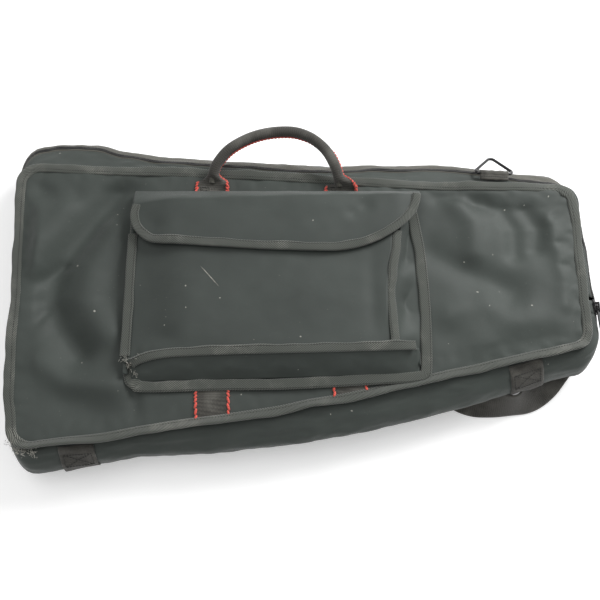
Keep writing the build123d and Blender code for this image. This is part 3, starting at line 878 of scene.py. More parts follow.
def front_height(x, y):
    """Top of the front panel at a place: padded, a little slack, with its folds."""
    open_share = 1 - 0.9 * pocket_cover(x, y)
    inset = max(0.0, seam_inset(x, y))
    folds = 0.0
    for height, width, points in FRONT_FOLDS:
        away = near_line(points, x / MM, y / MM) / width
        if away < 3:
            folds += height * math.exp(-away * away)
    swell = ripple(11, 2.2, x, y, 0.3) + ripple(34, 0.7, x, y, 0.8)
    calm = smooth(inset / (20 * MM))
    rise = (1.9 * folds * sizes().fold_depth + 1.5 * swell) * MM * open_share * calm
    dip = -1.3 * MM * math.exp(-inset / (7 * MM))
    pucker = ripple(1, 2.2 * MM, x * 120, y * 120, 0.5) * math.exp(-inset / (9 * MM))
    pucker *= smooth(inset / (4 * MM))
    return FRONT_Z + rise + dip + pucker


def half_width(x):
    """Half the width of the seam outline at x, its round corners included."""
    reach = SEAM_MID_Y - TAPER * x
    from_end = SEAM_X - abs(x)
    if from_end < SEAM_RADIUS:
        short = SEAM_RADIUS - from_end
        reach -= SEAM_RADIUS - math.sqrt(max(0.0, SEAM_RADIUS ** 2 - short ** 2))
    return reach


def panel_columns(count):
    """X values across the bag, closer together at its two ends."""
    corner = [-SEAM_X + SEAM_RADIUS * (1 - math.cos(math.pi / 2 * i / 8)) for i in range(8)]
    start, end = -SEAM_X + SEAM_RADIUS, SEAM_X - SEAM_RADIUS
    middle = [mixed(start, end, i / count) for i in range(count + 1)]
    return corner + middle + [-x for x in reversed(corner)]


def panel(height_at, rows):
    """A sheet over the whole seam outline."""
    xs = panel_columns(190)

    def place(i, j):
        x = xs[i]
        y = (2 * j / rows - 1) * half_width(x)
        return Vector((x, y, height_at(x, y))), (x, y)

    return grid(len(xs) - 1, rows, place)


def make_front_panel():
    """The padded front panel."""
    made = piece("front_panel_shell", panel(front_height, 96), "shell_nylon", "lid",
                 ["front_panel"], 3.0 * MM, True)


def make_back_panel():
    """The padded back panel, flat on the floor."""
    def top(x, y):
        return BACK_HIGH.z - 0.2 * MM + ripple(20, 0.4 * MM, x, y, 0.1)

    made = piece("back_panel_shell", panel(top, 60), "shell_nylon", "bag_back",
                 ["back_panel"], 3.6 * MM)


def seam_band(name, body, node, middle_z, thick, wave, tilt, floor=None):
    """A bound seam all round: a folded tape standing out of the seam line."""
    count = len(SEAM) - 1
    section = band_section(FIN_WIDTH + 1.4 * MM, thick)
    total = SEAM[-1].distance
    line = []

    def loop_noise(distance, scale, seed):
        angle = 2 * math.pi * distance / total
        return noise.noise(Vector((math.cos(angle) * scale, math.sin(angle) * scale, seed)))

    def frame_at(i):
        station = SEAM[i % count]
        distance = station.distance if i < count else total
        lift = wave * (loop_noise(distance, 7, 1.5) * 1.6 + loop_noise(distance, 22, 4.5) * 0.6)
        lean = tilt * loop_noise(distance, 6, 8.5) * 2
        if not floor:
            lean += math.radians(34) * smooth((-station.normal.y - 0.5) * 2)
        out = Vector((station.normal.x, station.normal.y, 0))
        across = out * math.cos(lean) + UP * math.sin(lean)
        up = UP * math.cos(lean) - out * math.sin(lean)
        width = 0.92 + 0.10 * loop_noise(distance, 15, 12.5)
        height = middle_z + lift
        if floor is not None:
            height = max(height, floor + thick / 2)
        origin = Vector((station.point.x, station.point.y, height)) - out * 2.2 * MM
        line.append((origin + across * 3.4 * MM + up * (thick / 2 + 0.12 * MM), up))
        return origin, across * width, up, distance

    bm = tape(count, frame_at, section, closed_run=True)
    piece(name, bm, "binding_tape", body, [node], slack=not floor)
    tape_seam(name, line[:count + 1], body, slack=not floor)


def make_seams():
    """The bound seams round the front and back panels."""
    seam_band("front_seam_binding", "lid", "front_binding", FIN_MIDDLE_Z - 0.3 * MM, 3.4 * MM,
              sizes().binding_wave, math.radians(11))
    seam_band("back_seam_binding", "bag_back", "back_binding", BACK_FIN_HIGH / 2 + 0.3 * MM, 2.8 * MM,
              0.5 * MM, math.radians(1), floor=0.7 * MM)


# ---------------------------------------------------------------- gusset and zip


def gusset_strip(bm, run, low, high, rows, lift=0.0):
    """A strip of the gusset between two positions of its section."""
    def place(i, j):
        position = mixed(low, high, j / rows)
        return gusset_place(run[i], position, lift), (run[i].distance, position * SECTION_STEP)

    return grid(len(run) - 1, rows, place, bm)


TAPE_BACK = (2.95, 3.93)
TAPE_FRONT = (4.07, 4.30)


def make_gusset():
    """The gusset: two strips beside the zip, and the slack whole piece below its stops."""
    last = len(SECTION) - 1
    back = gusset_strip(None, zip_run(0.0), 0.0, TAPE_BACK[0] + 0.08, 22)
    piece("zip_gusset_back", back, "shell_nylon", "bag_back",
          ["zip_gusset_back_top", "zip_gusset_back_wide_end", "zip_gusset_back_narrow_end"], 1.6 * MM)
    front = gusset_strip(None, zip_run(ZIP_PARK), TAPE_FRONT[1] - 0.04, last, 14)
    piece("zip_gusset_front", front, "shell_nylon", "lid",
          ["zip_gusset_front_top", "zip_gusset_front_wide_end", "zip_gusset_front_narrow_end"],
          1.6 * MM, True)
    lower = gusset_strip(None, lower_run(), 0.0, last, 40)
    for side, stop in ((1, NARROW_STOP_Y), (-1, WIDE_STOP_Y)):
        run = [s for s in SEAM if on_end(s, side) and stop <= s.point.y <= stop + ZIP_PARK + 2 * MM]
        gusset_strip(lower, run, TAPE_FRONT[0], last, 12)
    made = piece("lower_gusset", lower, "shell_nylon", None, ["bottom_gusset"], 1.6 * MM, True)
    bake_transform(made)


def coil(run, side):
    """One row of zip teeth: a thin tube with a bulge for each tooth."""
    sides, rings_per_tooth = 6, 4
    steps = []
    spacing = sizes().coil_pitch / rings_per_tooth
    count = int((run[-1].distance - run[0].distance) / spacing)
    index = 0
    for step in range(count + 1):
        distance = run[0].distance + step * spacing
        while index < len(run) - 2 and run[index + 1].distance < distance:
            index += 1
        low, high = run[index], run[index + 1]
        share = min(1.0, (distance - low.distance) / (high.distance - low.distance))
        point, normal = low.point.lerp(high.point, share), low.normal.lerp(high.normal, share)
        steps.append(Station(point, normal, distance))
    centres = [gusset_place(step, ZIP_KNOT + side * 0.085, 0.4 * MM) for step in steps]

    def place(i, j):
        step = steps[i]
        out = Vector((step.normal.x, step.normal.y, 0)).normalized()
        angle = 2 * math.pi * j / sides
        tooth = 1 + 0.22 * math.cos(2 * math.pi * i / rings_per_tooth)
        radius = 1.15 * MM * tooth
        offset = out * math.cos(angle) * radius + UP * math.sin(angle) * radius
        return centres[i] + offset, (step.distance, j * 1.2 * MM)

    return capped(grid(count, sides, place))


def make_zip():
    """The zip's tapes, its two rows of teeth, its stops, sliders and pulls."""
    back = gusset_strip(None, zip_run(0.0), *TAPE_BACK, 6, 0.6 * MM)
    piece("zip_tape_lower", back, "zip_tape", "bag_back", ["zip_tape_back"], 0.9 * MM)
    front = gusset_strip(None, zip_run(ZIP_PARK), *TAPE_FRONT, 3, 0.3 * MM)
    piece("zip_tape_upper", front, "zip_tape", "lid", ["zip_tape_front"], 0.9 * MM)
    piece("zip_teeth_lower", coil(zip_run(0.0), -1), "zip_coil", "bag_back", ["zip_coil_back"])
    piece("zip_teeth_upper", coil(zip_run(ZIP_PARK), 1), "zip_coil", "lid", ["zip_coil_front"])
    for node in ("zip_slider_wide_end", "zip_slider_narrow_end", "slider_pull_wide_end",
                 "slider_pull_narrow_end", "zip_end_stops"):
        dress(node, "slider_metal")
    dress("zip_coil_ends", "zip_coil")


def dress(node, material):
    """Gives a CAD node its finish."""
    mesh = frame["nodes"][node].data
    mesh.materials.clear()
    mesh.materials.append(finish_of(material))


# ---------------------------------------------------------------- webbing on the front


def strip_foot(a):
    """Where a line along the pocket's C meets the lower seam."""
    low, high = -220 * MM, 0.0
    halvings = 24
    for _ in range(halvings):
        middle = (low + high) / 2
        spot = pocket_point(a, middle, 0)
        if seam_inset(spot.x, spot.y) > 0.6 * MM:
            high = middle
        else:
            low = middle
    return high


def on_front(a, c, lift):
    """A point in the pocket's frame, laid on the front panel."""
    spot = pocket_point(a, c, 0)
    return Vector((spot.x, spot.y, front_height(spot.x, spot.y) + lift))


def make_strip(side, name):
    """A webbing strip down the front panel with its raised coral edges."""
    middle = side * STRIP_OFFSET
    half = WEBBING / 2
    top = STRIP_TOPS[name]
    rows, columns = 12, 110

    def place(i, j):
        a = middle + half * (1 - 2 * j / rows)
        c = mixed(strip_foot(a), top, i / columns)
        crown = 0.5 * MM * math.sin(math.pi * j / rows)
        return on_front(a, c, 1.2 * MM + crown), (c, a)

    piece("strip_" + name, grid(columns, rows, place), "webbing", "lid",
          ["webbing_strip_" + name], 1.3 * MM, True)
    beads = bmesh.new()
    steps = 80
    for way in (-1, 1):
        a = middle + way * (half - 1.3 * MM)
        foot = strip_foot(a)
        line = [(on_front(a, mixed(foot, top, index / steps), 1.5 * MM), UP) for index in range(steps + 1)]
        stitches(beads, line, sizes().stitch_pitch, 5.4 * MM, 1.45 * MM, way * 0.55, 0.14, seed=side + 4)
    stitched(beads, "strip_edges_" + name, "lid", "edge_stitching", "edge_stitching",
             ["edge_stitching_" + name], True)


def box_stitches(bm, place, width, length, inset, up):
    """A sewn box with a cross in it, on the surface that place(x, y) gives."""
    steps = 12
    x, y = width / 2 - inset, length / 2 - inset
    corners = [(-x, -y), (x, -y), (x, y), (-x, y), (-x, -y)]
    lines = [corners, [(-x, -y), (x, y)], [(-x, y), (x, -y)]]
    for corners in lines:
        line = []
        for start, end in zip(corners, corners[1:]):
            line += [(place(mixed(start[0], end[0], k / steps), mixed(start[1], end[1], k / steps)), up)
                     for k in range(steps + 1)]
        stitches(bm, line, sizes().thread_pitch, 2.5 * MM, 0.45 * MM)
    return bm


def make_tab(side, name):
    """The handle's sewn end: a folded webbing tab across the top of a strip."""
    middle = side * STRIP_OFFSET
    top = STRIP_TOPS[name]
    half_wide, deep = 14 * MM, 9 * MM

    def spot(x, y):
        return on_front(middle + x, top - deep / 2 + y, 3.4 * MM)

    def place(i, j):
        x, y = mixed(-half_wide, half_wide, i / 16), mixed(-deep / 2, deep / 2, j / 6)
        return spot(x, y), (y, x)

    piece("handle_end_" + name, grid(16, 6, place), "webbing", "lid", ["handle_tab_" + name],
          1.4 * MM)
    threads = box_stitches(bmesh.new(), lambda x, y: spot(x, y) + UP * 0.3 * MM,
                           2 * half_wide, deep, 2 * MM, UP)
    stitched(threads, "handle_end_seam_" + name, "lid", slot="webbing")


# ---------------------------------------------------------------- the pocket

# Edges of the slumped pocket in its own frame, millimetres
POCKET_LEFT = [(-84, -175.5), (-40, -174), (10, -172.5), (66, -171)]
POCKET_RIGHT = [(-84, 121), (-40, 120), (-18, 120.5), (6, 123), (42, 129), (66, 133)]
RIDGE = [(-160, -88, 73.5), (-148, -84, 78.5), (-126, -80.6, 83.0), (-90, -79.6, 85.2), (-30, -79.4, 86.4),
         (40, -79.6, 86.6), (100, -79.2, 86.0), (128, -78.6, 83.8), (152, -77.6, 79.6)]
BASE_BAND = [(160.5, 96), (167.5, 40), (169.5, -28), (166.5, -98), (161, -112.5), (146, -116.4),
             (110, -117.5), (8, -120.5), (-62, -119.6), (-148, -119.6), (-163, -115), (-171.5, -103)]
BASE_LEFT = [(-173.5, -60, 3.6), (-171.5, 20, 3.6), (-169.5, 92, 3.4)]
FLAP_EDGE = [(-165.5, 98), (-168, 84), (-165, 70), (-155.5, 57), (-140, 47.5), (-108, 43), (-50, 37.5),
             (26, 32), (72, 31.5), (108, 40), (136, 55), (155, 73), (162, 87), (164.5, 98)]
FLAP_ROOT_C = 116.5
POCKET_TOP = 85.4          # height of the front sheet and of the flap before their dents
FLAP_TOP = 87.6
POCKET_DENTS = [(1.7, 10, 80, -10, 40), (-2.6, -128, 17, -62, 12), (-1.9, 104, 9, -20, 50),
                (1.4, -100, 26, -20, 38)]
FLAP_DENTS = [(-2.4, 100, 10, 84, 9), (-1.6, 86, 8, 76, 7), (1.1, 70, 30, 88, 12), (-1.8, -138, 12, 66, 12)]


def pocket_front_z(a, c):
    """Height of the pocket's front sheet in millimetres, at a place in its frame in millimetres."""
    left = smooth((-96 - a) / 76)
    lower = smooth((-30 - c) / 54)
    swell = ripple(0.013, 1.6, a, c, 40) + ripple(0.045, 0.5, a, c, 90)
    return POCKET_TOP - 14.5 * left + dents(POCKET_DENTS, a, c) + swell * (1 - 0.7 * lower)


def ridge_at(a):
    """(c, z) of the pocket's lower ridge at a, in millimetres."""
    return table_at(RIDGE, a)


def line_frames(points, rise, lean, count):
    """Frames for a tape along points in the pocket's frame, (a, c, z) in millimetres."""
    spots = [Vector(along_curve(points, index, count)) * MM for index in range(count + 1)]
    frames, distance = [], 0.0
    for index, spot in enumerate(spots):
        along = heading(spots, index)
        side = UP.cross(along).normalized()
        tilt = lean(index / count)
        across = side * math.cos(tilt) + UP * math.sin(tilt)
        up = along.cross(across) * -1
        if up.z < 0:
            up = -up
        distance += (spot - spots[index - 1]).length if index else 0.0
        frames.append((spot + up * rise, across, up, distance))
    return frames


def pocket_tape(name, body, points, width, thick, rise, lean, replaces=(), count=120, seam_in=None):
    """A folded tape along a line of the pocket, with the stitches that hold it."""
    frames = line_frames(points, rise, lean, count)
    turn = POCKET_PLACE.to_3x3()

    def frame_at(i):
        spot, across, up, distance = frames[i]
        wander = 1 + 0.14 * noise.noise(Vector((distance * 40, rise * 900, 2)))
        return POCKET_PLACE @ spot, (turn @ across) * wander, turn @ up, distance

    piece(name, tape(count, frame_at, band_section(width, thick)), "binding_tape", body,
          replaces)
    line = []
    for index in range(count + 1):
        spot, across, up, _ = frame_at(index)
        line.append((spot + across * (seam_in if seam_in is not None else width - 2 * MM)
                     + up * (thick / 2 + 0.1 * MM), up))
    tape_seam(name, line, body)


def make_pocket_front():
    """The pocket's slumped front sheet, with folded tapes down its two sides and along its ridge."""
    rows = 56
    columns = 110
    mouth = 64

    def place(i, j):
        share = i / columns
        c = mixed(-82, mouth, j / rows)
        left = table_at(POCKET_LEFT, c)[0] + 3
        right = table_at(POCKET_RIGHT, c)[0]
        a = mixed(left, right, share)
        ridge_c, ridge_z = ridge_at(a)
        near = smooth((-62 - c) / 20)
        c = mixed(c, mixed(ridge_c, mouth, j / rows), 1 - j / rows)
        z = mixed(pocket_front_z(a, c), ridge_z - 0.8, near * 0.8)
        return pocket_spot(a, c, z), (a * MM, c * MM)

    piece("pocket_front_sheet", grid(columns, rows, place), "shell_nylon", "lid",
          ["pocket_front"], 1.5 * MM)
    left_leg = [(table_at(POCKET_LEFT, c)[0], c, 71.6 + 0.4 * math.sin(c / 17)) for c in range(64, -84, -12)]
    pocket_tape("pocket_left_binding", "lid", left_leg, 11 * MM, 2.4 * MM, 0.0, lambda s: 0.12)
    right_leg = [(table_at(POCKET_RIGHT, c)[0] + 9.5 - 1.5 * math.exp(-((c + 18) / 12) ** 2), c,
                  83.9 - 2.2 * math.exp(-((c + 20) / 22) ** 2)) for c in range(-78, 65, 11)]
    pocket_tape("pocket_right_binding", "lid", right_leg, 10 * MM, 2.4 * MM, 0.0, lambda s: 0.20,
                seam_in=8 * MM)
    ridge = [(min(a, 148), c - 5.5, z - 0.2) for a, c, z in RIDGE]
    pocket_tape("pocket_ridge_binding", "lid", ridge, 10.5 * MM, 2.8 * MM, 0.0,
                lambda s: 0.10 + 0.12 * math.sin(s * 17), ["pocket_front_binding"])


def make_pocket_gussets():
    """The bellows walls below and beside the pocket's front sheet."""
    def bottom(i, j):
        a = mixed(-163, 152, i / 110)
        ridge_c, ridge_z = ridge_at(a)
        low_z = FRONT_Z / MM + 2.8
        share = j / 18
        ends = smooth((a + 168) / 22) * smooth((153 - a) / 16)
        bow = math.sin(math.pi * share)
        fold = ripple(0.03, 2.6, a, share * 14, 7) + ripple(0.09, 0.8, a, share * 30, 3)
        c = mixed(-108, ridge_c - 3.0, share ** 0.9) - bow * (1.4 + fold * 0.5 * ends)
        z = mixed(low_z, ridge_z - 1.6, share) + bow * (1.6 + fold) * ends
        z -= 3.5 * smooth((a - 128) / 16) * share
        return pocket_spot(a, c, z), (a * MM, share * 30 * MM)

    piece("pocket_lower_gusset", grid(110, 18, bottom), "shell_nylon", "lid",
          ["pocket_gusset_bottom"], 1.2 * MM)

    def right(i, j):
        c = mixed(-98, 92, i / 90)
        share = j / 20
        inner = table_at(POCKET_RIGHT, c)[0] + 7.5
        outer = table_at([(-98, 158), (-28, 158.5), (40, 156.5), (92, 152)], c)[0]
        inner = mixed(inner, 153, smooth((-72 - c) / 12))
        top = mixed(82.6, 88 - 4, smooth((c - 40) / 40)) - 12 * smooth((-72 - c) / 14)
        low = FRONT_Z / MM + 2.6
        pinch = 5.5 * math.exp(-((c + 24) / 7) ** 2 - ((share - 0.42) / 0.30) ** 2)
        fold = 3.4 * math.sin(math.pi * share) * math.sin(c / 11 + share * 2.4)
        fold += ripple(0.05, 2.2, c, share * 12, 5) * math.sin(math.pi * share)
        sag = 4.5 * math.sin(math.pi * share)
        a = mixed(outer, inner, share)
        z = mixed(low, top, share ** 1.25) - sag - pinch + fold
        return pocket_spot(a, c, max(z, low - 0.6)), (c * MM, share * 34 * MM)

    piece("pocket_right_gusset", grid(90, 20, right), "shell_nylon", "lid",
          ["pocket_gusset_right"], 1.2 * MM)

    def left(i, j):
        c = mixed(92, -100, i / 60)
        share = j / 8
        outer = table_at(POCKET_LEFT, c)[0] + 4
        a = outer + 4.5 * math.sin(math.pi * share) - 0.5
        z = mixed(FRONT_Z / MM + 2.8, 71.0, share)
        return pocket_spot(a, c, z), (c * MM, share * 12 * MM)

    piece("pocket_left_gusset", grid(60, 8, left), "shell_nylon", "lid",
          ["pocket_gusset_left"], 1.0 * MM)


def make_pocket_base():
    """The bound seam that holds the pocket on the front panel."""
    points = [(a, c, FRONT_Z / MM + 3.1) for a, c in BASE_BAND]
    points += [(a, c, FRONT_Z / MM + lift) for a, c, lift in BASE_LEFT]
    pocket_tape("pocket_base_seam_binding", "lid", points[::-1], 12.5 * MM, 2.4 * MM, 0.0,
                lambda s: 0.02, ["pocket_base_binding"], count=240, seam_in=1.8 * MM)


def flap_z(a, c):
    """Height of the flap in millimetres, at a place in the pocket's frame."""
    left = smooth((-112 - a) / 62)
    right = smooth((a - 128) / 40)
    edge = smooth((62 - c) / 34)
    low_z = FLAP_TOP - 12.0 * left - 4.5 * right
    swell = ripple(0.014, 2.0, a, c, 10) + ripple(0.05, 0.6, a, c, 60)
    return low_z + 2.2 + 1.0 * (1 - edge) + dents(FLAP_DENTS, a, c) + swell


def flap_spot(a, c):
    """A point of the flap's sheet, a and c in millimetres."""
    return pocket_spot(a, c, flap_z(a, c))


def make_flap():
    """The flap: one sheet from the panel over the pocket's mouth, with a folded tape round its edge."""
    columns, rows, root_rows = 130, 34, 14
    edge_steps = 52
    hinge_c = FLAP_HINGE_C / MM

    def place(i, j):
        edge_a, edge_c = along_curve(FLAP_EDGE, i, columns)
        top_a = mixed(-165.5, 164.5, i / columns)
        if j <= rows:
            share = j / rows
            a = mixed(edge_a, top_a, share)
            c = mixed(edge_c, hinge_c, share)
            return flap_spot(a, c), (a * MM, c * MM)
        share = (j - rows) / root_rows
        start = flap_z(top_a, hinge_c)
        end = FRONT_Z / MM + 1.8
        c = hinge_c + (FLAP_ROOT_C - 0.030 * top_a - hinge_c) * (1 - (1 - share) ** 1.25)
        z = start - (start - end) * share ** 1.3
        z += ripple(0.03, 1.2, top_a, share * 20, 4) * math.sin(math.pi * share)
        return pocket_spot(top_a, c, z), (top_a * MM, (hinge_c + share * 30) * MM)

    bm = grid(columns, rows + root_rows, place)
    bmesh.ops.remove_doubles(bm, verts=bm.verts, dist=1e-6)
    made = piece("pocket_flap_sheet", bm, "shell_nylon", None, ["pocket_flap", "flap_root"],
                 1.4 * MM)
    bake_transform(made)
    edge = [along_curve(FLAP_EDGE, index, edge_steps) for index in range(edge_steps + 1)]
    points = [(a, c, flap_z(a, c) - 0.2) for a, c in edge]
    pocket_tape("flap_edge_binding", "flap", points, 10 * MM, 3.0 * MM, 0.2 * MM,
                lambda s: 0.10 + 0.05 * math.sin(s * 40), ["flap_binding"], count=200, seam_in=8.4 * MM)


def make_closure():
    """Hook tape under the flap and loop tape on the pocket's front."""
    def tape_sheet(low_c, high_c, height):
        def place(i, j):
            a = mixed(-40, 40, i / 40)
            c = mixed(low_c, high_c, j / 12)
            return pocket_spot(a, c, height(a, c)), (a * MM, c * MM)
        return grid(40, 12, place)

    loop = tape_sheet(41, 65 - 2, lambda a, c: pocket_front_z(a, c) + 0.9)
    piece("loop_tape", loop, "hook_and_loop", "lid", ["closure_loop_tape"], 0.8 * MM)
    hook = turned_over(tape_sheet(43, 62, lambda a, c: flap_z(a, c) - 2.3))
    piece("hook_tape", hook, "hook_and_loop", "flap", ["closure_hook_tape"], 0.8 * MM)


# ---------------------------------------------------------------- handle and ring

# The handle's line in its own untilted frame, millimetres, from its left end to its right end
HANDLE_LINE = [(-75.5, -8, -8.6), (-75.5, 2, -7.6), (-74.5, 12, -3.2), (-70, 24.5, 3.0), (-57, 40.5, 8.4),
               (-36, 53.5, 11.8), (-15, 60.8, 13.5), (7, 63.8, 14.2), (24, 62.6, 14.0), (41, 56, 12.4),
               (55.5, 44.5, 9.6), (65.5, 30, 5.8), (72, 15, 0.2), (74.8, 3, -5.6), (75.3, -7, -8.6)]
HANDLE_FLAT = 17 * MM      # length of each end over which the webbing folds from flat to round
# How far the seam has turned round the grip: (share of the handle's length, degrees)
HANDLE_SEAM_TURNS = [(0.0, 0), (0.12, 30), (0.25, 62), (0.55, 62), (0.70, 25), (0.80, -62), (0.92, -52),
                     (0.98, 0), (1.0, 0)]
HANDLE_GRIP_RADIUS = 6 * MM


def handle_frames(count):
    """Points, directions, curl and distance along the handle."""
    place = Matrix.Translation(Vector(HANDLE_JOINT["pos_m"])) @ Matrix.Rotation(HANDLE_TURN, 4, "Z")
    spots = [place @ (Vector(along_curve(HANDLE_LINE, index, count)) * MM) for index in range(count + 1)]
    lengths = [0.0]
    for before, after in zip(spots, spots[1:]):
        lengths.append(lengths[-1] + (after - before).length)
    plane_up = (HANDLE_PLACE.to_3x3() @ UP).normalized()
    frames = []
    for index, spot in enumerate(spots):
        along = heading(spots, index)
        out = plane_up.cross(along).normalized()
        up = along.cross(out).normalized()
        distance = lengths[index]
        from_end = min(distance, lengths[-1] - distance)
        turn = math.radians(table_at(HANDLE_SEAM_TURNS, distance / lengths[-1])[0])
        face = up * math.cos(turn) + out * math.sin(turn)
        side = along.cross(face).normalized()
        curl = smooth((from_end - 9 * MM) / HANDLE_FLAT)
        frames.append((spot, face, side, curl, distance))
    return frames


def handle_section(frame_row, across):
    """A point on the outside of the handle's webbing, across from -1 to 1."""
    spot, face, side, curl, _ = frame_row
    bend = max(0.02, 0.965 * curl) / HANDLE_GRIP_RADIUS
    width = across * WEBBING / 2
    x = math.sin(bend * width) / bend
    y = (math.cos(bend * width) - 1) / bend + HANDLE_GRIP_RADIUS * smooth(curl)
    return spot + side * x + face * y


def make_handle():
    """The handle: webbing folded round a cord, sewn along its inner side with coral thread."""
    count, rows = 170, 30
    short, sides = 14, 14      # frames that the cord stops short of each end, and sides of the cord
    frames = handle_frames(count)

    def place(i, j):
        across = 2 * j / rows - 1
        return handle_section(frames[i], across), (frames[i][4], across * WEBBING / 2)

    bm = turned_over(grid(count, rows, place))
    grip = piece("handle_webbing", bm, "webbing", None, ["handle_grip"], 1.7 * MM)
    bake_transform(grip)

    def core_place(i, j):
        spot, face, side, _, distance = frames[short + i]
        angle = 2 * math.pi * j / sides
        radius = 3.4 * MM * (1 + 0.02 * math.sin(i * 1.3 + angle))
        return spot + face * math.cos(angle) * radius + side * math.sin(angle) * radius, (distance, j * MM)

    core = grid(count - 2 * short, sides, core_place)
    cord = piece("handle_cord", capped(core), "zip_tape", None, ["handle_core"], slot="handle_core")
    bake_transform(cord)
    beads = bmesh.new()
    for way in (-1, 1):
        line = []
        for row in frames:
            spot = handle_section(row, way * 0.955)
            inner = handle_section(row, way * 0.80)
            edge = (spot - inner).normalized()
            normal = edge.cross((row[1].cross(row[2]))).normalized() * way
            line.append((spot + normal * 0.5 * MM, normal))
        stitches(beads, line, sizes().stitch_pitch, 5.0 * MM, 1.35 * MM, way * 0.62, 0.12, seed=11 + way)
    thread = stitched(beads, "handle_edges", None, "edge_stitching", "edge_stitching", ["handle_stitching"])
    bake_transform(thread)


def make_ring_sleeve():
    """The webbing sleeve that holds the strap ring on the bound seam."""
    radius, thick, reach = 3.5 * MM, 1.7 * MM, 8.5 * MM
    arc = [(math.cos(math.radians(a)) * radius, math.sin(math.radians(a)) * radius)
           for a in range(-150, 151, 20)]
    ring = [(-reach, -thick * 0.8), (-5 * MM, -thick)] + arc + [(-5 * MM, thick), (-reach, thick * 0.8)]
    ring.append(ring[0])
    half, columns = 16.5 * MM, 22

    def place(i, j):
        x = mixed(-half, half, i / columns)
        y, z = ring[j]
        y += 0.3 * MM * math.sin(i * 0.9)
        return RING_PLACE @ Vector((x, y, z)), (j * 1.6 * MM, x)

    bm = capped(grid(columns, len(ring) - 1, place))
    piece("ring_webbing", bm, "webbing", "lid", ["ring_sleeve"])
    line = [(RING_PLACE @ Vector((mixed(-half + MM, half - MM, k / 10), -5.2 * MM, thick + 0.3 * MM)),
             UP) for k in range(11)]
    stitched(stitches(bmesh.new(), line, 2.6 * MM, 2.1 * MM, 0.42 * MM), "ring_webbing_seam", "lid",
             slot="webbing")
    dress("strap_ring", "black_wire")


# ---------------------------------------------------------------- the strap below and its patches

# The strap's stations: (x, y, z, turn, tilt), millimetres and degrees
STRAP = [(118, -98, 1.3, -24, 0), (158, -117, 1.3, -24, 0), (184, -133, 6.2, -20, 15),
         (208, -142, 14.6, -8, 45), (232, -147, 18.6, 5, 66), (252, -140, 14.6, 26, 45),
         (272, -124, 6.4, 42, 16), (287, -108, 1.3, 45, 0), (302, -92, 1.3, 45, 0)]


def make_strap():
    """The webbing loop under the narrow end."""
    count, rows = 110, 12

    def place(i, j):
        x, y, z, turn, tilt = along_curve(STRAP, i, count)
        turn, tilt = math.radians(turn), math.radians(tilt)
        across = Vector((-math.sin(turn) * math.cos(tilt), math.cos(turn) * math.cos(tilt), math.sin(tilt)))
        along = Vector((math.cos(turn), math.sin(turn), 0))
        up = along.cross(across)
        width = (j / rows - 0.5) * WEBBING
        spot = Vector((x, y, z)) * MM + across * width + up * 0.9 * MM
        return spot, (i * 2.1 * MM, width)

    piece("strap_loop", grid(count, rows, place), "webbing", "bag_back", ["webbing_loop"],
          1.8 * MM)


def lower_station(x):
    """The station of the lower long side at x."""
    side = Vector((TAPER, -1.0)).normalized()
    return Station(Vector((x, -(SEAM_MID_Y - TAPER * x))), side, x / TAPER_COS)


def make_patch(name, x_middle):
    """A webbing patch across the lower gusset, with a sewn box and cross."""
    columns, rows = 14, 26
    stations = [lower_station(x_middle + (i / columns - 0.5) * WEBBING) for i in range(columns + 1)]

    def spot(i, position, lift):
        low = min(int(i), columns - 1)
        return gusset_place(stations[low], position, lift).lerp(
            gusset_place(stations[low + 1], position, lift), i - low)

    def place(i, j):
        position = mixed(1.5, 5.35, j / rows)
        lift = mixed(0.7 * MM, 1.7 * MM, smooth(min(j, rows - j) / 3))
        return gusset_place(stations[i], position, lift), (position * SECTION_STEP, stations[i].distance)

    made = piece("patch_" + name, grid(columns, rows, place), "webbing", None,
                 ["gusset_patch_" + name], 1.5 * MM, True)
    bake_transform(made)
    middle = 3.6

    def on_patch(x, y):
        return spot((x / WEBBING + 0.5) * columns, middle + y / SECTION_STEP, 2.0 * MM)

    up = Vector((0, -0.8, 0.6))
    threads = box_stitches(bmesh.new(), on_patch, WEBBING, 30 * MM, 4 * MM, up)
    seam = stitched(threads, "patch_seam_" + name, None, slot="webbing", slack=True)
    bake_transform(seam)


# ---------------------------------------------------------------- wear


def fray(bm, centre, spread, count, length, seed):
    """Loose curled threads about a place."""
    chance = random.Random(seed)
    for _ in range(count):
        start = centre + Vector([chance.gauss(0, axis) for axis in spread])
        way = Vector([chance.uniform(-1, 1) for _ in range(3)])
        way.z = abs(way.z) * 0.6
        way.normalize()
        bend = Vector([chance.uniform(-1, 1) for _ in range(3)]).normalized()
        size = length * chance.uniform(0.4, 1.0)
        radius = chance.uniform(0.20, 0.42) * MM
        steps = 4
        spots = [start + way * size * k / steps + bend * size * 0.5 * (k / steps) ** 2
                 for k in range(steps + 1)]
        rings = []
        for k, spot in enumerate(spots):
            turn = heading(spots, k).to_track_quat("Z", "Y").to_matrix().to_4x4()
            turn.translation = spot
            thin = radius * (1 - 0.5 * k / steps)
            made = bmesh.ops.create_circle(bm, cap_ends=k in (0, steps), segments=3, radius=thin,
                                           matrix=turn)
            rings.append(list({edge for vertex in made["verts"] for edge in vertex.link_edges}))
        for low, high in zip(rings, rings[1:]):
            bmesh.ops.bridge_loops(bm, edges=low + high)
    bmesh.ops.recalc_face_normals(bm, faces=bm.faces)
    return bm


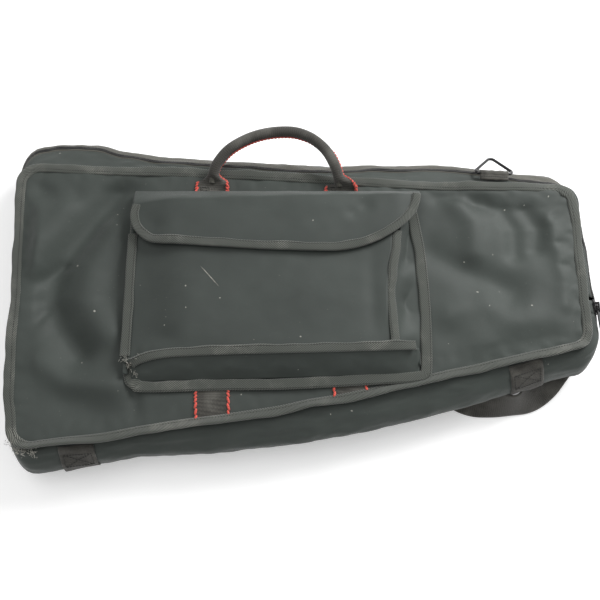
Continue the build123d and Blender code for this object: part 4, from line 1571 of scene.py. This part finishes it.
def make_wear():
    """Threads frayed out of two corners, and a scratch on the pocket."""
    corner = bmesh.new()
    worn = [(-314, -165, 63.5), (-307, -169, 64), (-319, -158, 63), (-298, -170, 64)]
    for index, (x, y, z) in enumerate(worn):
        fray(corner, Vector((x, y, z)) * MM, (3.2 * MM, 2.2 * MM, 0.5 * MM), 30, 3.6 * MM, index)
    piece("frayed_corner", corner, "frayed_thread", "lid", slack=True, slot="binding_tape")
    pocket = bmesh.new()
    for index, (a, c, z) in enumerate([(-170, -84, 74), (-164, -90, 74), (-159, -98, 70), (-152, -84, 78)]):
        fray(pocket, pocket_spot(a, c, z), (2.2 * MM, 2.2 * MM, 0.8 * MM), 22, 3.4 * MM, 20 + index)
    piece("frayed_pocket_corner", pocket, "frayed_thread", "lid", slot="binding_tape")

    steps = 24

    def scratch(i, j):
        a, c = mixed(-86, -66, i / steps), mixed(17, -7, i / steps)
        wide = 0.55 * math.sin(math.pi * (i + 1) / (steps + 2))
        return pocket_spot(a + wide * (j - 1), c, pocket_front_z(a, c) + 0.12), (a * MM, c * MM)

    piece("pocket_scratch", grid(steps, 2, scratch), "frayed_thread", "lid", thick=0.1 * MM,
          slot="shell_nylon")


# ---------------------------------------------------------------- operators


class BAG_OT_panels(bpy.types.Operator):
    """Build the front and back panels and their bound seams"""
    bl_idname = "bag.panels"
    bl_label = "Panels and Bindings"

    def execute(self, context):
        make_front_panel()
        make_back_panel()
        make_seams()
        return {"FINISHED"}


class BAG_OT_gusset(bpy.types.Operator):
    """Build the gusset and the zip"""
    bl_idname = "bag.gusset"
    bl_label = "Gusset and Zip"

    def execute(self, context):
        make_gusset()
        make_zip()
        return {"FINISHED"}


class BAG_OT_webbing(bpy.types.Operator):
    """Build the strips, the handle, the ring's sleeve, the strap and the patches"""
    bl_idname = "bag.webbing"
    bl_label = "Webbing and Handle"

    def execute(self, context):
        for side, name in ((-1, "left"), (1, "right")):
            make_strip(side, name)
            make_tab(side, name)
        make_handle()
        make_ring_sleeve()
        make_strap()
        for name, x_middle in PATCH_XS.items():
            make_patch(name, x_middle)
        return {"FINISHED"}


class BAG_OT_pocket(bpy.types.Operator):
    """Build the pocket, its flap and its closure"""
    bl_idname = "bag.pocket"
    bl_label = "Pocket"

    def execute(self, context):
        make_pocket_front()
        make_pocket_gussets()
        make_pocket_base()
        make_flap()
        make_closure()
        return {"FINISHED"}


class BAG_OT_wear(bpy.types.Operator):
    """Build the frayed threads of the worn corners and the pocket's scratch"""
    bl_idname = "bag.wear"
    bl_label = "Wear"

    def execute(self, context):
        make_wear()
        return {"FINISHED"}


class BAG_OT_stage(bpy.types.Operator):
    """Build the floor, the lights and the camera"""
    bl_idname = "bag.stage"
    bl_label = "Stage"

    def execute(self, context):
        make_floor()
        make_lights()
        make_camera()
        return {"FINISHED"}


def make_floor():
    """A plain pale floor."""
    bm = bmesh.new()
    bmesh.ops.create_grid(bm, x_segments=2, y_segments=2, size=sizes().floor_size / 2)
    mesh = bpy.data.meshes.new("floor")
    bm.to_mesh(mesh)
    bm.free()
    made = bpy.data.objects.new("floor", mesh)
    bpy.context.scene.collection.objects.link(made)
    mesh.materials.append(finish_of("pale_floor"))


def area_light(name, place, target, size, power):
    """A soft square light aimed at a point."""
    data = bpy.data.lights.new(name, "AREA")
    data.shape = "RECTANGLE"
    data.size, data.size_y = size
    data.energy = power
    made = bpy.data.objects.new(name, data)
    bpy.context.scene.collection.objects.link(made)
    made.location = place
    made.rotation_euler = (Vector(target) - Vector(place)).to_track_quat("-Z", "Y").to_euler()


def make_lights():
    """Soft studio light from above, with an even surround."""
    world = bpy.data.worlds.new("surround")
    world.use_nodes = True
    world.node_tree.nodes["Background"].inputs[0].default_value = (1.0, 1.0, 1.0, 1.0)
    world.node_tree.nodes["Background"].inputs[1].default_value = 0.50
    bpy.context.scene.world = world
    area_light("key", (1.30, 1.05, 1.20), (-0.05, 0, 0), (0.9, 0.9), 44)
    area_light("fill", (-0.6, 0.3, 2.6), (0, 0, 0), (1.8, 1.8), 17)


CAMERA_LENS = (54, 36)     # focal length and width of the sensor, millimetres
CAMERA_PLACE = (-0.0230, -0.3364, 1.0257)
CAMERA_DOWN = 71.74        # degrees below level
CAMERA_TURN = -3.90        # degrees round the vertical


def make_camera():
    """The camera, above the lower long side and a little turned."""
    data = bpy.data.cameras.new("camera")
    data.lens, data.sensor_width = CAMERA_LENS
    made = bpy.data.objects.new("camera", data)
    bpy.context.scene.collection.objects.link(made)
    made.location = CAMERA_PLACE
    made.rotation_euler = (math.radians(90 - CAMERA_DOWN), 0, math.radians(CAMERA_TURN))
    bpy.context.scene.camera = made
    bpy.context.scene.view_settings.view_transform = "Standard"


OPERATORS = [BAG_OT_panels, BAG_OT_gusset, BAG_OT_webbing, BAG_OT_pocket, BAG_OT_wear, BAG_OT_stage]


class BAG_PT_panel(bpy.types.Panel):
    """The bag's tab in the sidebar"""
    bl_idname = "BAG_PT_panel"
    bl_label = "Soft Carry Bag"
    bl_space_type = "VIEW_3D"
    bl_region_type = "UI"
    bl_category = "Bag"

    def draw(self, context):
        for group in (context.scene.bag_sizes, context.scene.bag_colours):
            for name in group.__annotations__:
                self.layout.prop(group, name)
        for operator in OPERATORS:
            self.layout.operator(operator.bl_idname)


CLASSES = [BagSizes, BagColours, *OPERATORS, BAG_PT_panel]


def register():
    """Adds the classes and the scene's settings."""
    for item in CLASSES:
        bpy.utils.register_class(item)
    bpy.types.Scene.bag_sizes = PointerProperty(type=BagSizes)
    bpy.types.Scene.bag_colours = PointerProperty(type=BagColours)


def unregister():
    """Takes the classes and the settings away."""
    del bpy.types.Scene.bag_sizes
    del bpy.types.Scene.bag_colours
    for item in reversed(CLASSES):
        bpy.utils.unregister_class(item)


def main():
    """Builds the whole bag."""
    register()
    for name in ("panels", "gusset", "webbing", "pocket", "wear", "stage"):
        getattr(bpy.ops.bag, name)()


if __name__ == "__main__":
    main()
